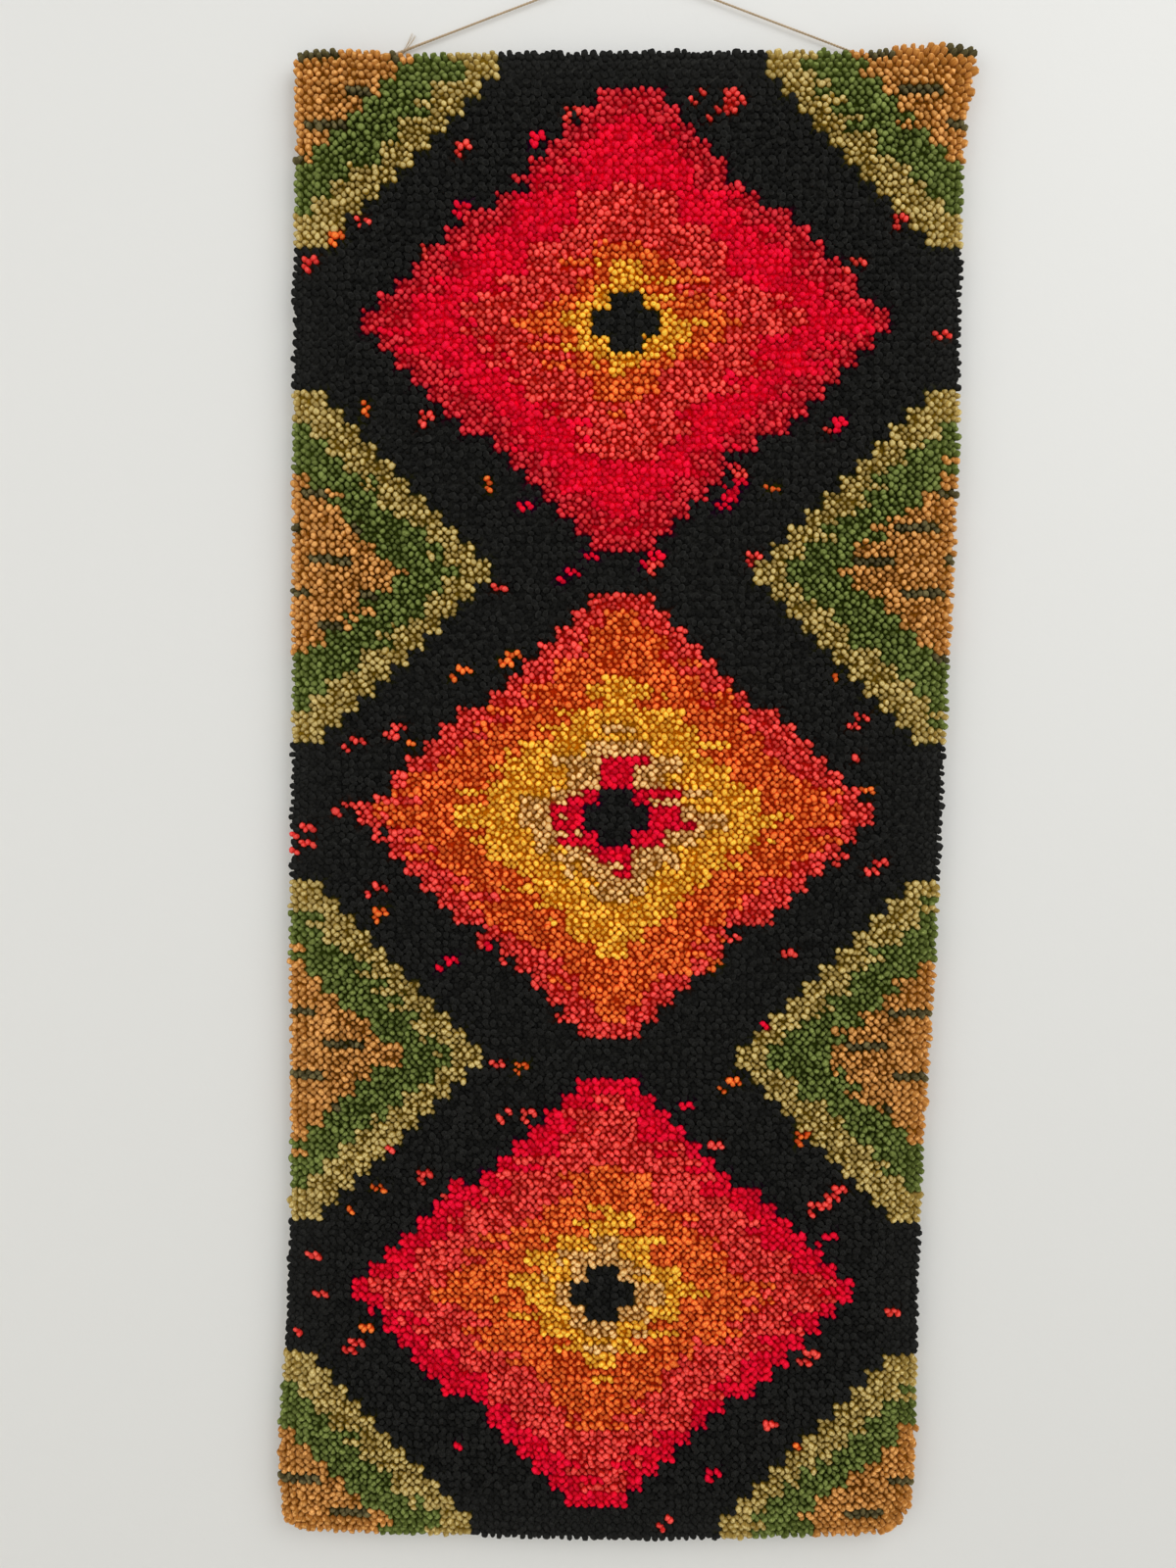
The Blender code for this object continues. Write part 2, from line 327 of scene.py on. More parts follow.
def attributeNode(tree, name, output):
    reader = tree.nodes.new("ShaderNodeAttribute")
    reader.attribute_name = name
    return reader.outputs[output]


def splitNode(tree, vector):
    # the three numbers of a vector
    split = tree.nodes.new("ShaderNodeSeparateXYZ")
    tree.links.new(vector, split.inputs[0])
    return split.outputs[0], split.outputs[1], split.outputs[2]


def mixNode(tree, share, first, second):
    # two fixed colours
    node = tree.nodes.new("ShaderNodeMix")
    node.data_type = "RGBA"
    tree.links.new(share, node.inputs[0])
    fillSocket(tree, node.inputs[6], first)
    fillSocket(tree, node.inputs[7], second)
    return node.outputs[2]


def shadeNode(tree, colour, value, hue=0.5):
    # a colour made lighter or darker by value; hue 0.5 leaves its hue alone
    node = tree.nodes.new("ShaderNodeHueSaturation")
    fillSocket(tree, node.inputs["Color"], colour)
    fillSocket(tree, node.inputs["Value"], value)
    fillSocket(tree, node.inputs["Hue"], hue)
    return node.outputs["Color"]


def bumpNode(tree, shader, height, strength, distance):
    bump = tree.nodes.new("ShaderNodeBump")
    bump.inputs["Strength"].default_value = strength
    bump.inputs["Distance"].default_value = distance
    tree.links.new(height, bump.inputs["Height"])
    tree.links.new(bump.outputs["Normal"], shader.inputs["Normal"])


def putSheen(shader, weight, roughness):
    shader.inputs["Sheen Weight"].default_value = weight
    shader.inputs["Sheen Roughness"].default_value = roughness


def threadMaterial(name, finish):
    # one colour times fine noise for the fibres and coarse noise for wear; the fibres are its bump too
    material, tree, shader = newMaterial(name, finish["roughness"], finish["specular"])
    fibre = noiseNode(tree, finish["fibreScale"], 3)
    value = productNode(tree, toneNode(tree, fibre, finish["fibreTone"]),
                        toneNode(tree, noiseNode(tree, finish["cloudScale"], 2), finish["cloudTone"]))
    tree.links.new(shadeNode(tree, finish["colour"], value), shader.inputs["Base Color"])
    bumpNode(tree, shader, fibre, *finish["bump"])
    return material


# Wool: three plies twisted round each other, fibre ends over them, and a deeper colour painted down
# between the ends as their shade; a pair marked * is at the top and at the bottom of the hanging
wool = {
    "plies": 3,
    "twist": 9.0,                    # radians that the plies turn along an end
    "changesBetween": (-0.55, -1.3), # heights between which the pairs marked * change
    "creaseShade": (0.15, 0.50),     # * painted shade in the grooves between the plies
    "rimShadeStart": (0.12, 0.18),        # * square of the way out over a tip at which the painted shade of its rim starts
    "rimShadeEnd": 0.95,
    "depthShadeSpan": (0.60, 0.95),       # way along an end from the painted shade of its deep colour to its tip colour
    "toneShare": (0.35, 1.0),        # how much of its tip colour the dullest and the brightest end keep
    "tone": (0.64, 1.06),            # and how light they are; the tone holds painted light and shade
    "sideSpan": (0.55, 0.86),        # way along an end from its sides' light to full light
    "domeShadeSpan": (0.15, 0.95),        # square of the way out over a tip, from the painted highlight at its middle to the painted shade at its rim
    "peakLight": (1.01, 1.08),        # * painted highlight: lightness at its middle
    "rimShade": (0.98, 0.76),         # * painted shade: lightness at its rim
    "fibres": (4.4, 4.4, 2.4),       # fibre noise across, over and along an end
    "fibreShift": 91.0,              # its random move from end to end
    "fibreTone": (0.72, 1.30),
    "cloudScale": 38,
    "cloudTone": (0.93, 1.07),
    "hues": (0.4988, 0.5012),        # 0.5 leaves the hue alone
    "roughness": 0.92,
    "specular": 0.10,
    "sheen": 0.35,
    "sheenRoughness": 0.45,
    "plyBump": 0.25,
    "bump": (0.9, 0.0006),
}


def endNoise(tree, parts, scales, shift):
    # noise on an end's own coordinates, moved by its own random number
    join = tree.nodes.new("ShaderNodeCombineXYZ")
    for socket, part, scale in zip(join.inputs, parts, scales):
        tree.links.new(mathNode(tree, "MULTIPLY_ADD", part, scale, shift), socket)
    noise = tree.nodes.new("ShaderNodeTexNoise")
    noise.inputs["Scale"].default_value = 1.0
    noise.inputs["Detail"].default_value = 2
    tree.links.new(join.outputs[0], noise.inputs["Vector"])
    return noise.outputs["Fac"]


def woolMaterial(name, look):
    # an end mixes its tip colour with its deep colour as painted shade: tip by depth times rim times
    # crease times luck, deep for the rest; it is as light as fibres times cloud times luck times the
    # light on its sides times the dome of its tip, a painted highlight at the middle and painted shade at
    # the rim
    material, tree, shader = newMaterial(name, look["roughness"], look["specular"])
    across, over, along = splitNode(tree, attributeNode(tree, "tuft", "Vector"))
    luck, hue, phase = splitNode(tree, attributeNode(tree, "strand", "Vector"))
    height = splitNode(tree, placeNode(tree))[2]

    def byHeight(setting):
        return rangeNode(tree, height, *look["changesBetween"], *look[setting])

    turn = mathNode(tree, "MULTIPLY_ADD", along, look["twist"], productNode(tree, phase, math.tau))
    angle = mathNode(tree, "ARCTAN2", over, across)
    ply = mathNode(tree, "COSINE", mathNode(tree, "MULTIPLY_ADD", angle, look["plies"], turn))
    fibreShift = productNode(tree, phase, look["fibreShift"])
    fibre = endNoise(tree, (across, over, along), look["fibres"], fibreShift)
    outward = mathNode(tree, "ADD", productNode(tree, across, across), productNode(tree, over, over))

    # painted shade: the deep colour comes in down along each end, toward the rim of its tip and in the
    # grooves between its plies, and on the dull lower ends by their tone
    depth = rangeNode(tree, along, *look["depthShadeSpan"], 0.0, 1.0, smooth=True)
    rim = rangeNode(tree, outward, byHeight("rimShadeStart"), look["rimShadeEnd"], 1.0, 0.0, smooth=True)
    groove = rangeNode(tree, ply, -1.0, 0.0, 1.0, 0.0, smooth=True)
    creaseShading = productNode(tree, groove, byHeight("creaseShade"))
    tipShare = productNode(tree, depth, rim, mathNode(tree, "SUBTRACT", 1.0, creaseShading),
                        rangeNode(tree, luck, 0.0, 1.0, *look["toneShare"]))
    lightness = productNode(
        tree,
        toneNode(tree, fibre, look["fibreTone"], (0.25, 0.75)),
        toneNode(tree, noiseNode(tree, look["cloudScale"], 2), look["cloudTone"]),
        # the tone from the ends' plan: random, with painted light on the proud and outer ends and painted
        # shade on the lower ones
        rangeNode(tree, luck, 0.0, 1.0, *look["tone"]),
        rangeNode(tree, along, *look["sideSpan"], look["sides"], 1.0),
        # painted highlight at the middle of each tip and painted shade at its rim
        rangeNode(tree, outward, *look["domeShadeSpan"], byHeight("peakLight"), byHeight("rimShade")),
    )
    hueTurn = rangeNode(tree, hue, 0.0, 1.0, *look["hues"])
    colour = shadeNode(tree, mixNode(tree, tipShare, look["deep"], look["tip"]), lightness, hueTurn)
    tree.links.new(colour, shader.inputs["Base Color"])
    putSheen(shader, look["sheen"], look["sheenRoughness"])
    fillSocket(tree, shader.inputs["Sheen Tint"], look["tip"])
    bumpNode(tree, shader, mathNode(tree, "MULTIPLY_ADD", ply, look["plyBump"], fibre), *look["bump"])
    return material


# The chart: three stepped diamonds down the middle, half diamonds at the sides, flecks on black
chartDesign = {
    "step": 2,               # stitches to a stair of a diamond
    "diamondRows": (31, 91, 151),
    "diamondSize": (28, 32), # half its height and half its width
    "diamondBands": (
        # stitches in from the edge, then the yarns of the upper, middle and lower diamond
        (0, "crimson", "coral", "scarlet"),
        (4, "scarlet", "orange", "coral"),
        (11, "coral", "gold", "orange"),
        (18, "orange", "peach", "gold"),
        (22, "gold", "scarlet", "peach"),
    ),
    "heart": (25.5, "black"),
    "sideRows": (1, 61, 121, 181),
    "sideSize": (22, 24),
    "sideBands": ((0, "olive"), (5, "green"), (11, "ochre")),
    "dashYarn": "brown",     # short dashes on the innermost side band
    "dashIn": 12,            # stitches in from the edge
    "dashRows": 4,           # rows from one line of dashes to the next
    "dashLength": 5,
    "dashPitch": 11,
    "dashShift": 5,          # each line's dashes stand this much aside
    "streakReach": 1.9,      # stitches that one colour runs into the next along a row
    "streakIn": 1.5,         # but not nearer to a diamond's edge than this
    "sideStreak": (0.6, 2),  # share of that reach on the side diamonds, and how far in it starts
    "streakRun": (5, 15),
    "streakStart": (0, 40),
    "streaks": 60,           # more than one row can hold
    "flecks": 230,
    "fleckYarns": ("coral", "scarlet", "orange", "coral"),
    # rows down, columns over and how often, for each knot that a fleck may have
    "fleckKnots": ((0, 0, 1.0), (0, 1, 0.75), (1, 0, 0.5), (1, -1, 0.25)),
    "seed": 11,
}


def diamondDepth(row, column, centreRow, centreColumn, size):
    # stitches in from a stepped diamond's edge: half height times one minus the two shares of the way out
    step = chartDesign["step"]
    halfHeight, halfWidth = size
    up = np.abs(row - centreRow) // step * step
    over = np.abs(column - centreColumn) // step * step
    return halfHeight * (1 - up / halfHeight - over / halfWidth)


def chartYarns(design):
    # a yarn's number for each knot, as rows by columns: flecks first, then each diamond's bands from the
    # outside in, with one random streak added to the depth along each run of knots
    rng = np.random.default_rng(design["seed"])
    rows, columns = cloth["rows"], cloth["columns"]
    row, column = np.mgrid[0:rows, 0:columns].astype(float)
    runs = rng.integers(*design["streakRun"], rows)
    starts = rng.integers(*design["streakStart"], rows)
    cell = (np.arange(columns)[None, :] + starts[:, None]) // runs[:, None]
    swing = rng.uniform(-1, 1, (rows, design["streaks"]))
    streak = design["streakReach"] * np.take_along_axis(swing, cell, axis=1)
    chart = np.zeros((rows, columns), int)

    flecks = design["flecks"]
    fleckRow, fleckColumn = rng.integers(1, rows - 1, flecks), rng.integers(1, columns - 1, flecks)
    fleckYarn = rng.choice([yarnNames.index(name) for name in design["fleckYarns"]], flecks)
    for rowStep, columnStep, share in design["fleckKnots"]:
        kept = rng.random(flecks) < share
        chart[(fleckRow + rowStep)[kept], (fleckColumn + columnStep)[kept]] = fleckYarn[kept]

    for number, centreRow in enumerate(design["diamondRows"]):
        depth = diamondDepth(row, column, centreRow, (columns - 1) / 2, design["diamondSize"])
        mixed = np.where(depth > design["streakIn"], depth + streak, depth)
        for start, *names in design["diamondBands"]:
            chart[(depth > 0) & (mixed >= start)] = yarnNames.index(names[number])
        chart[depth >= design["heart"][0]] = yarnNames.index(design["heart"][1])

    sideStreak, sideIn = design["sideStreak"]
    alongLine = column + design["dashShift"] * (row // design["dashRows"])
    dashes = (row % design["dashRows"] < 1) & (alongLine % design["dashPitch"] < design["dashLength"])
    for centreRow in design["sideRows"]:
        for centreColumn in (-0.5, columns - 0.5):
            depth = diamondDepth(row, column, centreRow, centreColumn, design["sideSize"])
            mixed = depth + sideStreak * streak * (depth > sideIn)
            for start, name in design["sideBands"]:
                chart[(depth > 0) & (mixed >= start)] = yarnNames.index(name)
            dashed = (depth > 0) & (mixed >= design["dashIn"]) & dashes
            chart[dashed] = yarnNames.index(design["dashYarn"])
    return chart


chart = chartYarns(chartDesign)
print("chart:", {name: int((chart == i).sum()) for i, name in enumerate(yarnNames)})


# Cut pile: each knot has two ends, and their tips crowd each other like packed beads; a pair marked *
# is for the loose beads above and for the tight nap below
pile = {
    "looseToTight": (0.35, 0.85),    # shares of the way down between which the pairs marked * change
    "length": 0.0151,
    "lengthSpread": 0.0003,
    "radius": (0.00266, 0.00288),    # *
    "radiusSpread": (0.12, 0.12),    # *
    "proud": 0.45,                   # share of ends that bloom wider and stand above their neighbours
    "proudRadius": (1.08, 0.89),     # their radius, and that of the rest
    "proudLength": (0.0008, -0.0009),            # what that adds to their length, and to the rest's
    "proudLightLowShade": ((0.60, 1.00), (0.05, 0.50)),   # tones of the two kinds, dullest and brightest: painted light on the proud, painted shade on the rest below
    "plainTone": (0.30, 0.85),       # an end's tone where the two kinds don't differ
    "contrast": (1.0, 0.90),         # * how far the two kinds differ
    "evenAtEdge": 0.85,              # and how much less they do at the edge
    "jitter": (0.17, 0.13),          # * random step of a tip, of a stitch
    "calmAtEdge": 0.5,               # and how much less at the edge
    "clump": (0.25, 0.215),          # how far a knot's two tips stand from its middle, of a stitch,
    "clumpSpan": (0.2, 1),           # at these shares of the way down
    "crowding": (0.95, 0.88),        # * tips nearer than this share of their two radii push apart
    "push": 0.4,                     # by this share of what they overlap,
    "homing": 0.06,                  # and each pass draws them this share of the way home
    "passes": 26,
    "rootApart": 0.12,               # how far a knot's two roots stand from its middle, of a stitch
    "bend": 0.55,                    # an end rises straight for this share of its height, then leans
    "leastRise": 0.35,               # however far it leans, it still rises by this share of its length
    "oval": (0.12, 0.17),            # * a tip is this much longer one way
    "uneven": (0.08, 0.11),          # * and its outline wanders by this share
    "cut": (0.010, 0.015),           # * its rim rises and falls by this share of the length
    "peakAside": (0.12, 0.22),       # * its peak stands up to this share of the radius off its middle
    "marginReach": 0.060,            # the outer ends lean out over this margin,
    "marginPower": 1.5,              # more steeply the higher this is
    # how far the outermost tips are moved out, and how far those at the sides hang down
    "margins": {"left": 0.0026, "right": 0.0050, "top": 0.0048, "bottom": 0.0026},
    "marginSag": {"left": 0.0, "right": 0.0030},
    "marginSwell": 0.16,             # the outer ends are wider by this share
    "marginCrowding": -0.06,         # they crowd each other this much more
    "marginDrop": 0.0003,            # one end of an edge knot lies this much in front of the other
    "marginLight": 0.15,              # they are painted this much brighter, as light on their leaning sides,
    "marginDepthLight": 0.50,        # with this much less of the shade between the ends
    "marginRimLight": 0.20,          # and of the shade at their rims
    "squareIn": 0.012,               # within this margin a knot's two ends draw level with the edge,
    "squareLeast": 0.25,             # down to this share of how far they stand apart
    "shiftSpread": (0.0003, 0.0007), # random shift of a tip, inside and at the edge
    # the ends spread further near the top right corner, and a little near the one opposite: shares of the
    # way across and down, reach from there, depth in from the edge, and shift across and down
    "fans": (
        {"across": 1, "down": 0, "reach": 0.051, "depth": 0.05, "shift": (0.0052, 0.0036), "power": 0.4},
        {"across": 0.93, "down": 0, "reach": 0.034, "depth": 0.05, "shift": (0, 0.0062), "power": 0.5},
        {"across": 1, "down": 0, "reach": 0.3, "depth": 0.06, "shift": (0.002, 0), "power": 1},
        {"across": 0, "down": 1, "reach": 0.09, "depth": 0.03, "shift": (0.0015, 0.001), "power": 0.7},
    ),
    "fanCentre": 0.060,              # a fan spreads away from a point this far in from both edges
    "fanSwell": 22,                  # an end grows wider by this share for each metre that a fan moves it
    "rimKnots": 2,                   # knots from the edge that are made rounder
    "seed": 5,
}


def tipNeighbours(halfRows, columns):
    # pairs of ends that may touch: the next in the row, the two in the next half row, the one below that
    number = np.arange(halfRows * columns).reshape(halfRows, columns)
    odd = np.arange(halfRows) % 2 == 1
    pairs = [
        (number[:, :-1], number[:, 1:]),
        (number[:-1], number[1:]),
        (number[:-2], number[2:]),
        (number[:-1][odd[:-1]][:, :-1], number[1:][odd[:-1]][:, 1:]),
        (number[:-1][~odd[:-1]][:, 1:], number[1:][~odd[:-1]][:, :-1]),
    ]
    return [np.concatenate([side.ravel() for side in sides]) for sides in zip(*pairs)]


def pushApart(a, b, radii, crowding, first, second):
    # each pass moves two tips that crowd each other apart by part of what they overlap
    homeA, homeB = a.copy(), b.copy()
    least = crowding[first] * (radii[first] + radii[second])
    for _ in range(pile["passes"]):
        stepA, stepB = a[second] - a[first], b[second] - b[first]
        apart = np.maximum(np.hypot(stepA, stepB), 1e-6)
        push = pile["push"] * np.maximum(least - apart, 0) / apart
        for values, step, home in ((a, stepA, homeA), (b, stepB, homeB)):
            values -= np.bincount(first, push * step, len(values))
            values += np.bincount(second, push * step, len(values))
            values += pile["homing"] * (home - values)
    return a, b


def marginShift(a, b):
    # how far a tip is carried across and down: most at each edge, falling to none inside the margin;
    # each fan adds a push away from a point inside its corner, weaker with distance from the corner
    def pull(distance):
        return np.clip(1 - distance / pile["marginReach"], 0, 1) ** pile["marginPower"]

    sides = {"left": pull(a), "right": pull(clothWidth - a),
             "top": pull(b), "bottom": pull(clothHeight - b)}
    size = {side: pile["margins"][side] * share for side, share in sides.items()}
    fanAcross, fanDown = np.zeros_like(a), np.zeros_like(b)
    for fan in pile["fans"]:
        cornerA, cornerB = fan["across"] * clothWidth, fan["down"] * clothHeight
        near = np.clip(1 - np.hypot(a - cornerA, b - cornerB) / fan["reach"], 0, 1) ** fan["power"]
        inward = np.minimum(np.abs(a - cornerA), np.abs(b - cornerB))
        near = near * np.clip(1 - inward / fan["depth"], 0, 1)
        fromA = a - (cornerA - (2 * fan["across"] - 1) * pile["fanCentre"])
        fromB = b - (cornerB - (2 * fan["down"] - 1) * pile["fanCentre"])
        away = np.maximum(np.hypot(fromA, fromB), 0.5 * pile["fanCentre"])
        fanAcross = fanAcross + near * fan["shift"][0] * fromA / away
        fanDown = fanDown + near * fan["shift"][1] * fromB / away
    sag = sum(pile["marginSag"][side] * sides[side] for side in pile["marginSag"]) * (1 - sides["top"])
    shiftA = size["right"] - size["left"] + fanAcross
    shiftB = size["bottom"] - size["top"] + sag + fanDown
    return shiftA, shiftB, np.maximum.reduce(list(sides.values())), np.hypot(fanAcross, fanDown)


def riseOf(length, shiftA, shiftB):
    # how far a leaning end still stands out of the canvas: the third side of a right-angled triangle
    return np.sqrt(np.maximum(length ** 2 - shiftA ** 2 - shiftB ** 2, (pile["leastRise"] * length) ** 2))


def planEnds():
    # root, tip, radius and luck of every end, the luck's second number a tone with painted light and
    # shade
    # in it: a tip is its knot's middle plus its half of the clump and a random step, pushed off its
    # neighbours and then carried out by the margin's shift; its rise is what its length leaves over from
    # that shift
    rng = np.random.default_rng(pile["seed"])
    halfRows, columns = 2 * cloth["rows"], cloth["columns"]
    half, column = (index.ravel() for index in np.mgrid[0:halfRows, 0:columns])
    count = len(half)
    knotA = (column + 0.5) * stitchWidth
    knotB = (half // 2 + 0.5) * stitchHeight
    down = knotB / clothHeight
    side = np.where(half % 2 == 1, 1, -1)
    clump = side * np.interp(down, pile["clumpSpan"], pile["clump"])
    tight = np.interp(down, pile["looseToTight"], (0, 1))

    def graded(name):
        return between(tight, pile[name])

    def squared(place, size, stitch):
        # share of the clump that is left near an edge
        inward = np.minimum(place, size - place) - stitch / 2
        return np.clip(pile["squareLeast"] + inward / pile["squareIn"], 0, 1)

    homeA = knotA + clump * squared(knotA, clothWidth, stitchWidth) * stitchWidth
    homeB = knotB + clump * squared(knotB, clothHeight, stitchHeight) * stitchHeight
    shiftA, shiftB, outness, fanned = marginShift(homeA, homeB)

    proud = rng.random(count) < pile["proud"]
    contrast = graded("contrast") * (1 - pile["evenAtEdge"] * outness)
    radii = graded("radius") * (1 + contrast * (np.where(proud, *pile["proudRadius"]) - 1))
    radii = radii * np.exp(rng.normal(0, 1, count) * graded("radiusSpread"))
    radii = radii * (1 + pile["fanSwell"] * fanned + pile["marginSwell"] * outness)
    jitter = graded("jitter") * (1 - pile["calmAtEdge"] * outness)
    tipA = homeA + rng.normal(0, 1, count) * jitter * stitchWidth
    tipB = homeB + rng.normal(0, 1, count) * jitter * stitchHeight
    crowding = graded("crowding") + pile["marginCrowding"] * outness
    tipA, tipB = pushApart(tipA, tipB, radii, crowding, *tipNeighbours(halfRows, columns))
    loose = between(outness, pile["shiftSpread"])
    shiftA = shiftA + rng.normal(0, 1, count) * loose
    shiftB = shiftB + rng.normal(0, 1, count) * loose
    length = pile["length"] + pile["lengthSpread"] * rng.normal(0, 1, count)
    length = length + contrast * np.where(proud, *pile["proudLength"])
    length = length + side * outness * pile["marginDrop"]
    rise = riseOf(length, shiftA, shiftB)

    apart = side * pile["rootApart"]
    rootX, rootZ = hung(*roundedIn(knotA + apart * stitchWidth, knotB + apart * stitchHeight))
    tipX, tipZ = hung(*roundedIn(tipA, tipB))
    luck = rng.random((count, 4))
    # an end's tone: painted light on the proud ends and painted shade on the lower ones, random within
    # each, and painted light on the outer ends, where their leaning sides show
    kindLightShade = np.where(proud, *(between(luck[:, 1], tones) for tones in pile["proudLightLowShade"]))
    plainTone = between(luck[:, 1], pile["plainTone"]) + pile["marginLight"] * outness
    luck[:, 1] = np.clip(contrast * kindLightShade + (1 - contrast) * plainTone, 0, 1)
    fromRim = np.minimum.reduce((column, columns - 1 - column, half // 2, cloth["rows"] - 1 - half // 2))
    return {
        "roots": asPoints(rootX, depths["pileBack"], rootZ),
        "tips": asPoints(tipX + shiftA, depths["pileBack"] - rise, tipZ - shiftB),
        "radii": radii,
        "rise": rise,
        "outness": outness,
        "yarn": chart[half // 2, column],
        "rim": fromRim < pile["rimKnots"],
        "lower": half > halfRows / 2,
        "random": luck,
        **{name: graded(name) for name in ("oval", "uneven", "cut", "peakAside")},
    }


# Profile of one yarn end: a foot of few corners down among its neighbours, then rings of more, then its
# peak; each has its share of the way along, share of the radius, and place on the end's round map
endProfiles = {
    "inner": {"foot": (4, 0.50, 0.86, 0.98), "sides": 10, "rings": ((0.845, 1.00, 0.62),)},
    "dark": {"foot": (4, 0.50, 0.86, 0.98), "sides": 8, "rings": ((0.845, 1.00, 0.62),)},
    "rim": {"foot": (5, 0.24, 0.84, 0.98), "sides": 9, "rings": ((0.82, 1.00, 0.60), (0.95, 0.76, 0.34))},
}


def endTemplate(profile):
    # triangles of one end, the angle, share along and share out of each of its points, and the place of
    # the triangles' corners on a round map: a flat foot, a band up to each ring, and a fan up to the peak
    footSides, *footNumbers = profile["foot"]
    sides, rings = profile["sides"], profile["rings"]
    step, footStep = np.arange(sides), np.arange(footSides)
    after = (step + 1) % sides
    peak = footSides + sides * len(rings)
    ringAngles = np.tile(math.tau * step / sides, len(rings))
    angles = np.concatenate((math.tau * footStep / footSides, ringAngles, [0.0]))
    along, reach, spread = (
        np.concatenate((np.full(footSides, foot), np.repeat(ofRings, sides), [atPeak]))
        for foot, ofRings, atPeak in zip(footNumbers, zip(*rings), (1.0, 0.0, 0.0)))

    inner = footStep[1:-1]
    nearest = np.round((step + 0.5) * footSides / sides).astype(int) % footSides
    changed = step[nearest != nearest[after]]
    parts = [
        np.column_stack((np.zeros_like(inner), inner + 1, inner)),
        np.column_stack((nearest, footSides + after, footSides + step)),
        np.column_stack((nearest[changed], nearest[after[changed]], footSides + after[changed])),
    ]
    for ring in range(1, len(rings)):
        low, high = footSides + (ring - 1) * sides, footSides + ring * sides
        parts.append(np.column_stack((low + step, low + after, high + after)))
        parts.append(np.column_stack((low + step, high + after, high + step)))
    low = footSides + (len(rings) - 1) * sides
    parts.append(np.column_stack((low + step, low + after, np.full(sides, peak))))
    triangles = np.vstack(parts)
    places = np.column_stack((spread * np.cos(angles), spread * np.sin(angles)))
    return triangles, angles, along, reach, places[triangles]


def endSurface(ends, chosen, profile):
    # a point is its place on a bent line, straight out of the canvas and then leaning over, plus its
    # reach square to the line; tips are a little oval, their rims uneven and their peaks off the middle
    roots, tips, radii, rise, luck, outness = (
        ends[name][chosen] for name in ("roots", "tips", "radii", "rise", "random", "outness"))
    oval, uneven, cut, aside = (
        ends[name][chosen][:, None] for name in ("oval", "uneven", "cut", "peakAside"))
    triangles, angles, along, reach, corners = endTemplate(profile)
    count, size = len(roots), len(angles)
    rng = np.random.default_rng(size)        # its own for each profile
    rimShift = cut * rng.normal(0, 1, (count, size))
    rimShift[:, :profile["foot"][0]] = rimShift[:, -1:] = 0      # the foot and the peak stay
    t = (along[None] + rimShift)[..., None]
    bends = roots + np.array([0, -1, 0]) * (pile["bend"] * rise)[:, None]
    lines = (1 - t) ** 2 * roots[:, None] + 2 * t * (1 - t) * bends[:, None] + t ** 2 * tips[:, None]
    slopes = (1 - t) * (bends - roots)[:, None] + t * (tips - bends)[:, None]
    slopes /= np.linalg.norm(slopes, axis=2, keepdims=True)
    first = np.cross(slopes, [0, 0, 1.0])
    first /= np.linalg.norm(first, axis=2, keepdims=True)
    second = np.cross(slopes, first)
    turned = angles[None] + math.tau * luck[:, :1]
    wander = 1 + uneven * rng.uniform(-1, 1, (count, size))
    out = reach[None] * (1 + oval * np.cos(2 * angles)[None]) * wander
    out[:, -1] = aside[:, 0] * rng.random(count)
    out = (out * radii[:, None])[..., None]
    points = lines + out * (first * np.cos(turned)[..., None] + second * np.sin(turned)[..., None])

    tuft = np.column_stack((np.cos(angles), np.sin(angles), along))
    tuft[-1, :2] = 0
    tufts = np.repeat(tuft[None], count, axis=0)
    # at the edge, less painted shade down between the leaning ends and at their rims; the strand below
    # carries each end's tone, painted light and shade in it
    tufts[..., 2] = 1 - (1 - tufts[..., 2]) * (1 - pile["marginDepthLight"] * outness)[:, None]
    tufts[..., :2] *= (1 - pile["marginRimLight"] * outness)[:, None, None]
    strands = np.repeat(luck[:, None, 1:4], size, axis=1)
    numbered = triangles[None] + (np.arange(count) * size)[:, None, None]
    return (*(values.reshape(-1, 3) for values in (points, tufts, strands, numbered)), corners)


def makeEnds(name, ends, chosen, material, profile="inner"):
    # one mesh of all the chosen ends, those near the edge on the rounder profile
    groups = ((endProfiles[profile], chosen & ~ends["rim"]), (endProfiles["rim"], chosen & ends["rim"]))
    cellsAcross = math.ceil(math.sqrt(chosen.sum()))
    parts, firstPoint, firstCell = [], 0, 0
    for shape, picked in groups:
        count = int(picked.sum())
        if count == 0:
            continue
        points, tufts, strands, triangles, corners = endSurface(ends, picked, shape)
        cells = cellMap(corners, count, firstCell, cellsAcross)
        parts.append((points, tufts, strands, triangles + firstPoint, cells))
        firstPoint += len(points)
        firstCell += count
    points, tufts, strands, triangles, cells = (np.concatenate(values) for values in zip(*parts))
    obj = putMesh(name, points, triangles)
    putVectors(obj, "tuft", tufts)
    putVectors(obj, "strand", strands)
    putMap(obj, cells)
    return handOver(obj, material, "pile")


ends = planEnds()
for number, (yarnName, yarn) in enumerate(yarns.items()):
    ofYarn = ends["yarn"] == number
    material = woolMaterial("wool_" + yarnName, {**wool, **yarn})
    if yarnName == "black":      # the largest shade is made in two halves
        makeEnds("pile_black_upper", ends, ofYarn & ~ends["lower"], material, "dark")
        makeEnds("pile_black_lower", ends, ofYarn & ends["lower"], material, "dark")
    else:
        makeEnds("pile_" + yarnName, ends, ofYarn, material)


